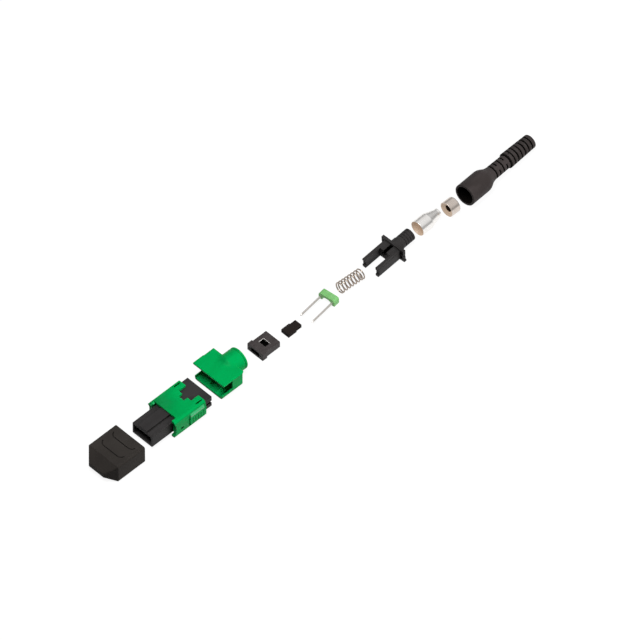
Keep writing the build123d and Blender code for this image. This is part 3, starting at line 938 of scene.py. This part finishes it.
def relax(piece: bpy.types.Object, seat: Seat, inside: Callable[[Vector], bool], passes: int) -> None:
    """Relax the part of a dense mesh that lies in a region.

    Args:
        piece: The piece.
        seat: Where it lies.
        inside: Tells whether a point in the piece's own metres lies in the region.
        passes: How often it is relaxed.
    """
    bm = bmesh.new()
    bm.from_mesh(piece.data)
    own = seat.matrix().inverted()
    chosen = [vert for vert in bm.verts if inside(own @ vert.co)]
    for _ in range(passes):
        bmesh.ops.smooth_vert(bm, verts=chosen, factor=0.5, use_axis_x=True, use_axis_y=True, use_axis_z=True)
    bm.to_mesh(piece.data)
    bm.free()


def smoothed(piece: bpy.types.Object, crease: float = 32.0) -> bpy.types.Object:
    """Shade a piece smooth up to a crease angle, with flat faces kept flat.

    Args:
        piece: The piece.
        crease: Angle from which an edge stays sharp, in degrees.

    Returns:
        The piece.
    """
    mesh = piece.data
    mesh.shade_smooth()
    mesh.set_sharp_from_angle(angle=math.radians(crease))
    weighted = piece.modifiers.new("face_weights", "WEIGHTED_NORMAL")
    weighted.keep_sharp = True
    weighted.weight = 90
    return piece


def filleted(corners: Sequence[Corner], steps: int = 5) -> list[tuple[float, float]]:
    """Round the corners of a closed profile.

    Args:
        corners: Each corner's place along the axis, its radius from the axis, and its rounding.
        steps: Faces around each rounding.

    Returns:
        The points of the rounded profile.
    """
    points: list[tuple[float, float]] = []
    count = len(corners)
    for index, (x, r, rounding) in enumerate(corners):
        here = Vector((x, r))
        if rounding <= 0.0:
            points.append((x, r))
            continue
        before = (Vector(corners[index - 1][:2]) - here).normalized()
        after = (Vector(corners[(index + 1) % count][:2]) - here).normalized()
        reach = rounding / math.tan(before.angle(after) / 2)
        start, end = here + before * reach, here + after * reach
        for step in range(steps + 1):
            t = step / steps
            bend = start * (1 - t) ** 2 + here * 2 * t * (1 - t) + end * t ** 2
            points.append((bend.x, bend.y))
    return points


def lathed(name: str, seat: Seat, corners: Sequence[Corner], sides: int = 96) -> bpy.types.Object:
    """Turn a closed profile about a seat's axis.

    Args:
        name: Name of the new piece.
        seat: Where it lies.
        corners: The profile's corners, as filleted() takes them.
        sides: Faces around the axis.

    Returns:
        The new piece.
    """
    profile = filleted(corners)
    matrix = seat.matrix()
    bm = bmesh.new()
    rings = []
    for side in range(sides):
        turn = math.tau * side / sides
        rings.append([bm.verts.new(matrix @ Vector((mm(x), mm(r * math.cos(turn)), mm(r * math.sin(turn)))))
                      for x, r in profile])
    count = len(profile)
    for side in range(sides):
        near, far = rings[side], rings[(side + 1) % sides]
        for index in range(count):
            after = (index + 1) % count
            bm.faces.new((near[index], near[after], far[after], far[index]))
    bmesh.ops.recalc_face_normals(bm, faces=bm.faces)
    return smoothed(meshed(name, bm))


def wound(name: str, seat: Seat, path: Iterable[Vector], wire: float) -> bpy.types.Object:
    """Bend a round wire along a path.

    Args:
        name: Name of the new piece.
        seat: Where it lies.
        path: Points of the wire's middle, in the piece's own millimetres.
        wire: Diameter of the wire in millimetres.

    Returns:
        The new piece.
    """
    matrix = seat.matrix()
    curve = bpy.data.curves.new(name, "CURVE")
    curve.dimensions = "3D"
    curve.bevel_depth = mm(wire / 2)
    curve.bevel_resolution = 5
    curve.use_fill_caps = True
    curve.resolution_u = 3
    points = [matrix @ (point / MM_PER_METRE) for point in path]
    line = curve.splines.new("NURBS")
    line.points.add(len(points) - 1)
    for spot, point in zip(line.points, points):
        spot.co = (*point, 1.0)
    line.order_u = 4
    line.use_endpoint_u = True
    return baked(linked(name, curve))



@dataclass
class DustCap:
    """Dust cap: a moulded shell with a tapered front and two hooked grip lines."""

    edge: float = 0.30
    seat: Seat = Seat((-20.05, 0.22), 0.0)
    nose_length: float = 3.5
    least_forward: float = 0.35
    least_up: float = 0.3

    def on_nose(self, spot: Vector, normal: Vector) -> bool:
        """Whether a face is one of the nose's upper slopes."""
        return spot.x < self.nose_length and normal.x < -self.least_forward and normal.z > self.least_up

    def build(self, shop: Workshop) -> None:
        """Make the cap and dress it."""
        shell = shop.stand_in(softened("dust_cap", "cap_shell", self.edge, segments=3), "dust_cap", Slot.CAP)
        # Painted light: the nose's upper slopes are made lighter than the rest of the cap.
        shop.paint(shell, self.seat, self.on_nose, Slot.LIT_NOSE)


@dataclass
class Plug:
    """Plug: the inner housing, the release sleeve around it and the sleeve's two springs."""

    housing_edge: float = 0.10
    sleeve_edge: float = 0.08
    ramp_edge: float = 0.06
    sleeve_travel: float = 1.5
    disc_place: tuple[float, float] = (9.45, 5.05)
    disc_top: float = 7.22
    disc_radius: float = 0.62
    disc_raise: float = 0.03
    disc_depth: float = 0.5
    disc_core: float = 0.02
    groove_width: float = 0.28
    groove_depth: float = 1.2
    groove_raise: float = 0.4
    round_sides: int = 48
    ramp_ends: tuple[float, float] = (15.1, 21.0)
    ramp: tuple[tuple[float, float], ...] = ((5.9, 6.75), (6.55, 5.7), (6.55, 4.9), (5.9, 4.9))

    def build(self, shop: Workshop) -> None:
        """Make the plug's pieces and dress them.

        Args:
            shop: The workshop.
        """
        shop.stand_in(softened("inner_housing", "plug_body", self.housing_edge), "inner_housing", Slot.BLACK)
        sleeve = softened("release_sleeve", "pull_sleeve", self.sleeve_edge)
        self.ear(shop, sleeve)
        for side, name in ((1, "left"), (-1, "right")):
            ramp = hulled(f"grip_ramp_{name}", Seat((0.0, 0.0), 0.0),
                          [(x, side * y, z) for x in self.ramp_ends for y, z in self.ramp], self.ramp_edge)
            shop.dress(shop.add(ramp, Slot.GREEN, SLEEVE_BODY), Slot.GLOSS)
        shop.stand_in(sleeve, "release_sleeve", Slot.GREEN, SLEEVE_BODY)
        for name in ("left", "right"):
            self.side_spring(shop, name)

    def ear(self, shop: Workshop, sleeve: bpy.types.Object) -> None:
        """Cut the ring groove into the sleeve's left ear and set the disc inside it.

        Args:
            shop: The workshop.
            sleeve: The sleeve.
        """
        spot = Seat(self.disc_place, self.disc_top, tilt=90.0)
        inner, outer = self.disc_radius, self.disc_radius + self.groove_width
        groove = [(-self.groove_raise, inner, 0), (-self.groove_raise, outer, 0), (self.groove_depth, outer, 0),
                  (self.groove_depth, inner, 0)]
        cut(sleeve, lathed("ear_tool", spot, groove, self.round_sides))
        profile = [(-self.disc_raise, self.disc_core, 0), (-self.disc_raise, inner, 0.1),
                   (self.disc_depth, inner, 0), (self.disc_depth, self.disc_core, 0)]
        disc = lathed("ear_pin", spot, profile, self.round_sides)
        shop.dress(shop.add(disc, Slot.GREEN, SLEEVE_BODY), Slot.GLOSS)

    def side_spring(self, shop: Workshop, side: str) -> None:
        """Make the spring on one side.

        Args:
            shop: The workshop.
            side: The side, left or right.
        """
        node = f"sleeve_spring_{side}"
        coil = smoothed(copied(node, f"side_spring_{side}"))
        shop.stand_in(coil, node, Slot.SPRING)
        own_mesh(coil)


@dataclass
class RearHood:
    """Rear hood: an open box under a wide plate that runs into a round collar."""

    seat: Seat = Seat((30.0, 0.95), 4.3)
    voxel: float = 0.14
    passes: int = 5
    flow_start: float = 4.6
    flow_end: float = 10.6
    flow_low: float = 2.75
    flow_passes: int = 90
    crease: float = 40.0
    groove: tuple[float, float, float, float] = (12.55, 12.95, 3.75, 4.4)
    corner: tuple[float, float, float, float] = (7.9, 9.6, 6.2, 7.4)
    corner_heights: tuple[float, float] = (5.0, 9.0)

    def flows(self, point: Vector) -> bool:
        """Whether a point in the hood's own metres lies where the plate runs into the collar."""
        return mm(self.flow_start) < point.x < mm(self.flow_end) and point.z > mm(self.flow_low)

    def build(self, shop: Workshop) -> None:
        """Make the hood, with the groove round its collar and the cut corner of its plate, and dress it.

        Args:
            shop: The workshop.
        """
        hood = melted("rear_hood", "hood_shell", self.voxel, self.passes)
        relax(hood, self.seat, self.flows, self.flow_passes)
        start, end, low, high = self.groove
        groove = [(start, low, 0), (start, high, 0), (end, high, 0), (end, low, 0)]
        cut(hood, lathed("groove_tool", self.seat, groove))
        start, end, low, high = self.corner
        wedge = [(x, y, z) for x, y in ((start, -high), (end, -low), (end, -high)) for z in self.corner_heights]
        cut(hood, hulled("corner_tool", Seat(self.seat.place, 0.0), wedge))
        shop.stand_in(smoothed(hood, self.crease), "rear_hood", Slot.GREEN)


@dataclass
class FerruleSet:
    """Ferrule, and the rubber boot that goes into its pocket."""

    ferrule_edge: float = 0.06
    boot_edge: float = 0.10
    seat: Seat = Seat((50.5, 0.75), 0.0)
    window_start: float = 3.2
    window_end: float = 5.1
    window_half: float = 1.4
    window_slack: float = 0.05
    pit_low: float = 0.3
    pit_floor: float = 0.9
    tool_top: float = 4.0
    top: float = 2.76
    pit_rim: float = 0.1
    # Diameter and offset of the pale rim that paints the window's highlight.
    highlight_rim: float = 0.20
    highlight_rim_offset: float = 0.1
    pocket_start: float = 0.15
    pocket_half: float = 2.0
    pocket_middle: float = 1.5
    pocket_reach: float = 1.1

    def in_window(self, spot: Vector, normal: Vector) -> bool:
        """Whether a face lies inside the window."""
        return (self.window_start - self.window_slack < spot.x < self.window_end + self.window_slack
                and abs(spot.y) < self.window_half + self.window_slack
                and self.pit_low < spot.z < self.top - self.pit_rim)

    def in_pocket(self, spot: Vector, normal: Vector) -> bool:
        """Whether a face lies inside the pocket."""
        return (self.pocket_start < spot.x < self.window_start and abs(spot.y) < self.pocket_half
                and abs(spot.z - self.pocket_middle) < self.pocket_reach)

    def highlight_rim_line(self) -> list[Vector]:
        """Points of the pale rim, a painted highlight, along the window's left and rear edges."""
        left, rear = self.window_half + self.highlight_rim_offset, self.window_end + self.highlight_rim_offset
        return [Vector((x, y, self.top)) for x, y in (
            (self.window_start - self.highlight_rim_offset, left), (self.window_end, left), (rear, left),
            (rear, self.window_half), (rear, -left))]

    def build(self, shop: Workshop) -> None:
        """Make the ferrule and its boot and dress them.

        Args:
            shop: The workshop.
        """
        block = softened("mt_ferrule", "ferrule_block", self.ferrule_edge)
        well = [(x, y, z) for x in (self.window_start, self.window_end)
                for y in (-self.window_half, self.window_half) for z in (self.pit_floor, self.tool_top)]
        cut(block, hulled("window_tool", self.seat, well))
        shop.stand_in(block, "mt_ferrule", Slot.FERRULE)
        # Painted shade: the faces of the window and of the pocket are made near-black.
        shop.paint(block, self.seat, self.in_window, Slot.PAINTED_SHADE)
        shop.paint(block, self.seat, self.in_pocket, Slot.PAINTED_SHADE)
        # Painted highlight: a pale wire lies along the window's left and rear edges.
        highlight_rim = wound("window_rim_highlight", self.seat, self.highlight_rim_line(), self.highlight_rim)
        shop.dress(shop.add(highlight_rim, Slot.FERRULE), Slot.RIM_HIGHLIGHT)
        boot = softened("ferrule_boot", "ribbon_boot", self.boot_edge)
        shop.dress(shop.stand_in(boot, "ferrule_boot", Slot.RUBBER), Slot.BOOT)


@dataclass
class PinClamp:
    """Pin clamp with its two guide pins."""

    edge: float = 0.08

    def build(self, shop: Workshop) -> None:
        """Make the clamp, and dress it and its pins.

        Args:
            shop: The workshop.
        """
        shop.stand_in(softened("pin_clamp", "clamp_arch", self.edge), "pin_clamp", Slot.PALE_GREEN)
        shop.keep("guide_pin_left", Slot.PIN)
        shop.keep("guide_pin_right", Slot.PIN)


@dataclass
class MainSpring:
    """Main spring: round wire with a closed turn at each end."""

    seat: Seat = Seat((87.8, 0.70), 2.05, -3.0)
    diameter: float = 4.1
    wire: float = 0.45
    length: float = 9.6
    turns: float = 8.3
    closed: float = 0.9
    blend: float = 0.5
    closed_pitch: float = 1.03
    steps: int = 24
    start: float = 200.0

    def rise(self, turn: float) -> float:
        """Tell how steeply the wire climbs.

        Args:
            turn: Turns from its front end.

        Returns:
            0 in a closed turn, 1 in an open one, and between them where one runs into the other.
        """
        from_end = min(turn, self.turns - turn)
        t = min(1.0, max(0.0, (from_end - self.closed + self.blend / 2) / self.blend))
        return t * t * (3 - 2 * t)

    def path(self) -> list[Vector]:
        """Wind the wire.

        Returns:
            The points of its middle, in millimetres.
        """
        count = int(self.turns * self.steps)
        shares = [self.rise((index + 0.5) / self.steps) for index in range(count)]
        closed_climb = self.wire * self.closed_pitch / self.steps
        closed_part = closed_climb * sum(1 - share for share in shares)
        open_climb = (self.length - self.wire - closed_part) / sum(shares)
        radius = (self.diameter - self.wire) / 2
        x, points = self.wire / 2, []
        for index in range(count + 1):
            turn = math.radians(self.start) + math.tau * index / self.steps
            points.append(Vector((x, radius * math.cos(turn), radius * math.sin(turn))))
            if index < count:
                x += shares[index] * open_climb + (1 - shares[index]) * closed_climb
        return points

    def build(self, shop: Workshop) -> None:
        """Make the spring and dress it."""
        shop.stand_in(wound("spring_wire", self.seat, self.path(), self.wire), "main_spring", Slot.SPRING)


@dataclass
class SpringPush:
    """Spring push: two arms on a flange, with a ribbed barrel."""

    edge: float = 0.08
    seat: Seat = Seat((101.0, -0.15), 0.0, 2.0)
    arm_inner: float = 2.3
    slit_start: float = 5.5
    arm_length: float = 10.3
    least_sideways: float = 0.8

    def in_slit(self, spot: Vector, normal: Vector) -> bool:
        """Whether a face looks into the rear of the slit between the arms."""
        return (self.slit_start < spot.x < self.arm_length and abs(spot.y) < self.arm_inner
                and spot.y * normal.y < 0.0 and abs(normal.y) > self.least_sideways)

    def build(self, shop: Workshop) -> None:
        """Make the push and dress it."""
        block = shop.stand_in(softened("spring_push", "push_block", self.edge), "spring_push", Slot.BLACK)
        # Painted shade: faces at the rear of the slit are made near-black.
        shop.paint(block, self.seat, self.in_slit, Slot.PAINTED_SHADE)


@dataclass
class CrimpSet:
    """Crimp tube and crimp ring, turned from bright metal."""

    tube_seat: Seat = Seat((122.7, 0.55), 2.75, 1.8)
    large_radius: float = 2.75
    large_mouth: float = 2.64
    mouth_length: float = 1.2
    large_bore: float = 2.30
    large_length: float = 4.6
    small_radius: float = 1.5
    small_bore: float = 1.2
    taper_length: float = 4.2
    tube_length: float = 9.5
    rim: float = 0.10
    ring_seat: Seat = Seat(RING_PLACE, 2.7)
    ring_radius: float = 2.7
    ring_mouth: float = 2.56
    ring_hole: float = 1.15
    funnel: float = 0.8
    ring_length: float = 3.7
    hole_slack: float = 0.08

    def tube(self) -> Profile:
        """Draw the tube's profile.

        Returns:
            Its corners.
        """
        taper_end = self.large_length + self.taper_length
        return [(0.0, self.large_mouth, 0.04), (0.0, self.large_radius, 0.04),
                (self.large_length, self.large_radius, 0.5), (taper_end, self.small_radius, 0.4),
                (self.tube_length, self.small_radius, self.rim), (self.tube_length, self.small_bore, self.rim),
                (taper_end, self.small_bore, 0.3), (self.large_length, self.large_bore, 0.4),
                (self.mouth_length, self.large_bore, 0.3)]

    def ring(self) -> Profile:
        """Draw the ring's profile.

        Returns:
            Its corners.
        """
        return [(0.0, self.ring_mouth, 0.05), (0.0, self.ring_radius, 0.06),
                (self.ring_length, self.ring_radius, 0.3), (self.ring_length, self.ring_hole, 0.10),
                (self.funnel, self.ring_hole, 0.15)]

    def in_hole(self, spot: Vector, normal: Vector) -> bool:
        """Whether a face lies in the ring's narrow hole."""
        return math.hypot(spot.y, spot.z) < self.ring_hole + self.hole_slack

    def build(self, shop: Workshop) -> None:
        """Turn both pieces and dress them, with painted light on their bores and painted shade in the ring's
        hole.

        Args:
            shop: The workshop.
        """
        tube = shop.stand_in(lathed("tube_shell", self.tube_seat, self.tube()), "crimp_tube", Slot.BRIGHT)
        ring = shop.stand_in(lathed("ring_shell", self.ring_seat, self.ring()), "crimp_ring", Slot.BRIGHT)
        shop.dress(ring, Slot.RING)
        for piece, seat in ((tube, self.tube_seat), (ring, self.ring_seat)):
            # Painted light: faces that look at the axis get the glowing beige bore finish.
            shop.paint(piece, seat, faces_axis, Slot.BORE)
        # Painted shade: the faces of the ring's narrow hole get a dark brown.
        shop.paint(ring, self.ring_seat, self.in_hole, Slot.HOLE_SHADE)


@dataclass
class StrainRelief:
    """Strain relief: a rubber cup with a slotted tail, whose slots show as dark rings of painted shade, as does
    the inside of its cup.
    """

    edge: float = 0.10
    seat: Seat = Seat((142.36, -1.05), 4.35, 4.9, 3.31)
    first_slot: float = 12.9
    pitch: float = 1.73
    slots: int = 11
    gap: float = 0.60
    waist_end: float = 20.0
    depths: tuple[float, float] = (2.0, 2.3)
    tool_radius: float = 3.3
    tool_back: float = 0.5
    cup_rim: float = 0.3
    cup_depth: float = 9.0
    slack: float = 0.01
    floor_slack: float = 0.12

    def in_slot(self, spot: Vector, normal: Vector) -> bool:
        """Tell whether a face lies in one of the tail's slots or rings.

        Args:
            spot: The face's middle, in the piece's own millimetres.
            normal: Its normal.

        Returns:
            Whether it does.
        """
        slot, along = divmod(spot.x - self.first_slot + self.slack, self.pitch)
        floor = self.depths[0 if spot.x < self.waist_end else 1] + self.floor_slack
        return (0 <= slot < self.slots and along < self.gap + 2 * self.slack
                and (abs(normal.x) > 0.9 or math.hypot(spot.y, spot.z) < floor))

    def in_cup(self, spot: Vector, normal: Vector) -> bool:
        """Whether a face lies inside the cup."""
        return self.cup_rim < spot.x < self.cup_depth and faces_axis(spot, normal)

    def comb(self) -> Profile:
        """Draw the ring grooves: every second slot along the waist, and each slot behind it.

        Returns:
            The corners of the comb that cuts them.
        """
        profile: Profile = []
        for slot in reversed(range(self.slots)):
            x = self.first_slot + slot * self.pitch
            waist = x < self.waist_end
            if waist and slot % 2:
                continue
            depth = self.depths[0] if waist else self.depths[1]
            profile += [(x + self.gap, self.tool_radius, 0), (x + self.gap, depth, 0), (x, depth, 0),
                        (x, self.tool_radius, 0)]
        start, end = profile[-1][0], profile[0][0]
        back = self.tool_radius + self.tool_back
        return profile + [(start, back, 0), (end, back, 0)]

    def build(self, shop: Workshop) -> None:
        """Make the strain relief and dress it.

        Args:
            shop: The workshop.
        """
        body = softened("strain_relief", "relief_body", self.edge)
        cut(body, lathed("comb_tool", self.seat, self.comb()))
        shop.stand_in(smoothed(body), "strain_relief", Slot.RUBBER)
        # Painted shade: the slots and the inside of the cup are made near-black.
        shop.paint(body, self.seat, self.in_slot, Slot.PAINTED_SHADE)
        shop.paint(body, self.seat, self.in_cup, Slot.PAINTED_SHADE)


# Studio


@dataclass(frozen=True)
class Lamp:
    """A soft round lamp: where it hangs from the aim, its size and power, and whether gloss shows it."""

    name: str
    azimuth: float
    elevation: float
    size: float
    power: float
    glossy: bool
    distance: float = 800.0


@dataclass
class Studio:
    """Camera, floor, backdrop and lamps. Angles are in degrees, and lengths in millimetres of the row."""

    azimuth: float = -44.5
    elevation: float = 49.7
    view_width: float = 203.2
    lens: float = 1200.0
    sensor: float = 36.0
    aim: Point = (75.47, -3.22, 0.0)
    floor_size: float = 6000.0
    floor_drop: float = 0.02
    floor_tone: float = 0.14
    floor_glow: float = 0.90
    floor_gloss: float = 0.85
    ambient: float = 0.07
    sky: tuple[tuple[float, float], ...] = ((0.0, 0.55), (1.0, 1.0), (0.35, 0.45), (0.62, 0.95))
    key: Lamp = Lamp("key", 36.0, 24.0, 520.0, 6.0, False)
    top: Lamp = Lamp("top", -92.0, 77.0, 440.0, 5.0, True)

    def build(self) -> None:
        """Make the whole studio."""
        self.camera()
        self.floor()
        self.world()
        for lamp in (self.key, self.top):
            self.hang(lamp)
        LOG.info("studio is set")

    def away(self, azimuth: float, elevation: float, distance: float) -> Vector:
        """Find a point round the aim.

        Args:
            azimuth: Its azimuth from the aim.
            elevation: Its elevation from the aim.
            distance: Its distance from the aim.

        Returns:
            The point in the frame.
        """
        a, e = math.radians(azimuth), math.radians(elevation)
        back = Vector((math.sin(a) * math.cos(e), -math.cos(a) * math.cos(e), math.sin(e)))
        centre = row_centre()
        aim = Vector((mm(self.aim[0] - centre[0]), mm(self.aim[1] - centre[1]), mm(self.aim[2])))
        return aim + back * mm(distance)

    def point(self, thing: bpy.types.Object, azimuth: float, elevation: float, distance: float) -> None:
        """Put a camera or a lamp round the aim and turn it to the aim.

        Args:
            thing: The camera or lamp.
            azimuth: Its azimuth from the aim.
            elevation: Its elevation from the aim.
            distance: Its distance from the aim.
        """
        thing.location = self.away(azimuth, elevation, distance)
        thing.rotation_mode = "QUATERNION"
        thing.rotation_quaternion = (self.away(0, 0, 0) - thing.location).to_track_quat("-Z", "Y")

    def camera(self) -> None:
        """Make the camera at the photograph's angle and scale."""
        data = bpy.data.cameras.new("camera")
        data.sensor_width = self.sensor
        data.lens = self.lens
        distance = self.view_width / 2 / (data.sensor_width / 2 / data.lens)
        cam = linked("camera", data)
        self.point(cam, self.azimuth, self.elevation, distance)
        data.clip_start, data.clip_end = 0.05, 50.0
        bpy.context.scene.camera = cam

    def floor(self) -> None:
        """Make the pale floor, which shows white to the camera and keeps a faint shadow."""
        bm = bmesh.new()
        bmesh.ops.create_grid(bm, x_segments=1, y_segments=1, size=mm(self.floor_size / 2))
        bench = meshed("bench", bm)
        bench.location = (0.0, 0.0, mm(-self.floor_drop))
        material, g = empty_material("bench_white")
        matt = g.add("ShaderNodeBsdfDiffuse")
        matt.inputs["Color"].default_value = (self.floor_tone, self.floor_tone, self.floor_tone, 1.0)
        glow = g.add("ShaderNodeEmission")
        rays = g.add("ShaderNodeLightPath")
        gloss = g.math("MULTIPLY", self.reflected(rays, g), self.floor_gloss)
        seen = g.math("MULTIPLY", rays.outputs["Is Camera Ray"], self.floor_glow)
        g.join(g.math("ADD", seen, gloss), glow.inputs["Strength"])
        both = g.add("ShaderNodeAddShader")
        g.join(matt.outputs[0], both.inputs[0])
        g.join(glow.outputs[0], both.inputs[1])
        out = g.add("ShaderNodeOutputMaterial")
        g.join(both.outputs[0], out.inputs["Surface"])
        bench.data.materials.append(material)

    def reflected(self, rays: bpy.types.Node, g: Graph) -> bpy.types.NodeSocket:
        """Socket that is 1 for the rays of gloss and glass."""
        return g.math("MAXIMUM", rays.outputs["Is Glossy Ray"], rays.outputs["Is Transmission Ray"])

    def world(self) -> None:
        """Make the surround: white to the camera, banded in reflections, and soft grey as light."""
        world = bpy.data.worlds.new("surround")
        bpy.context.scene.world = world
        world.use_nodes = True
        world.node_tree.nodes.clear()
        g = Graph(world.node_tree)
        rays = g.add("ShaderNodeLightPath")
        split = g.add("ShaderNodeSeparateXYZ")
        g.join(g.add("ShaderNodeTexCoord").outputs["Generated"], split.inputs[0])
        sky = g.add("ShaderNodeValToRGB")
        g.join(split.outputs["Z"], sky.inputs[0])
        stops = sky.color_ramp.elements
        for index, (position, tone) in enumerate(self.sky):
            stop = stops[index] if index < 2 else stops.new(position)
            stop.position, stop.color = position, (tone, tone, tone, 1.0)
        glossy = self.reflected(rays, g)
        strength = g.math("ADD", g.math("MULTIPLY", glossy, sky.outputs["Color"]),
                          g.math("MULTIPLY", g.math("SUBTRACT", 1.0, glossy), self.ambient))
        camera = rays.outputs["Is Camera Ray"]
        strength = g.math("ADD", g.math("MULTIPLY", g.math("SUBTRACT", 1.0, camera), strength), camera)
        glow = g.add("ShaderNodeBackground")
        g.join(strength, glow.inputs["Strength"])
        out = g.add("ShaderNodeOutputWorld")
        g.join(glow.outputs[0], out.inputs["Surface"])

    def hang(self, lamp: Lamp) -> None:
        """Hang a lamp, which the camera doesn't see.

        Args:
            lamp: The lamp.
        """
        data = bpy.data.lights.new(lamp.name, "AREA")
        data.shape = "DISK"
        data.size = mm(lamp.size)
        data.energy = lamp.power
        hung = linked(lamp.name, data)
        hung.visible_camera = False
        hung.visible_glossy = lamp.glossy
        self.point(hung, lamp.azimuth, lamp.elevation, lamp.distance)


def main() -> None:
    logging.basicConfig(level=logging.INFO, format="%(message)s")
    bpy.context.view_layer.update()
    bpy.context.scene.view_settings.view_transform = "Standard"
    Studio().build()
    shop = Workshop()
    for piece in (DustCap(), Plug(), RearHood(), FerruleSet(), PinClamp(), MainSpring(), SpringPush(),
                  CrimpSet(), StrainRelief()):
        piece.build(shop)


if __name__ == "__main__":
    main()
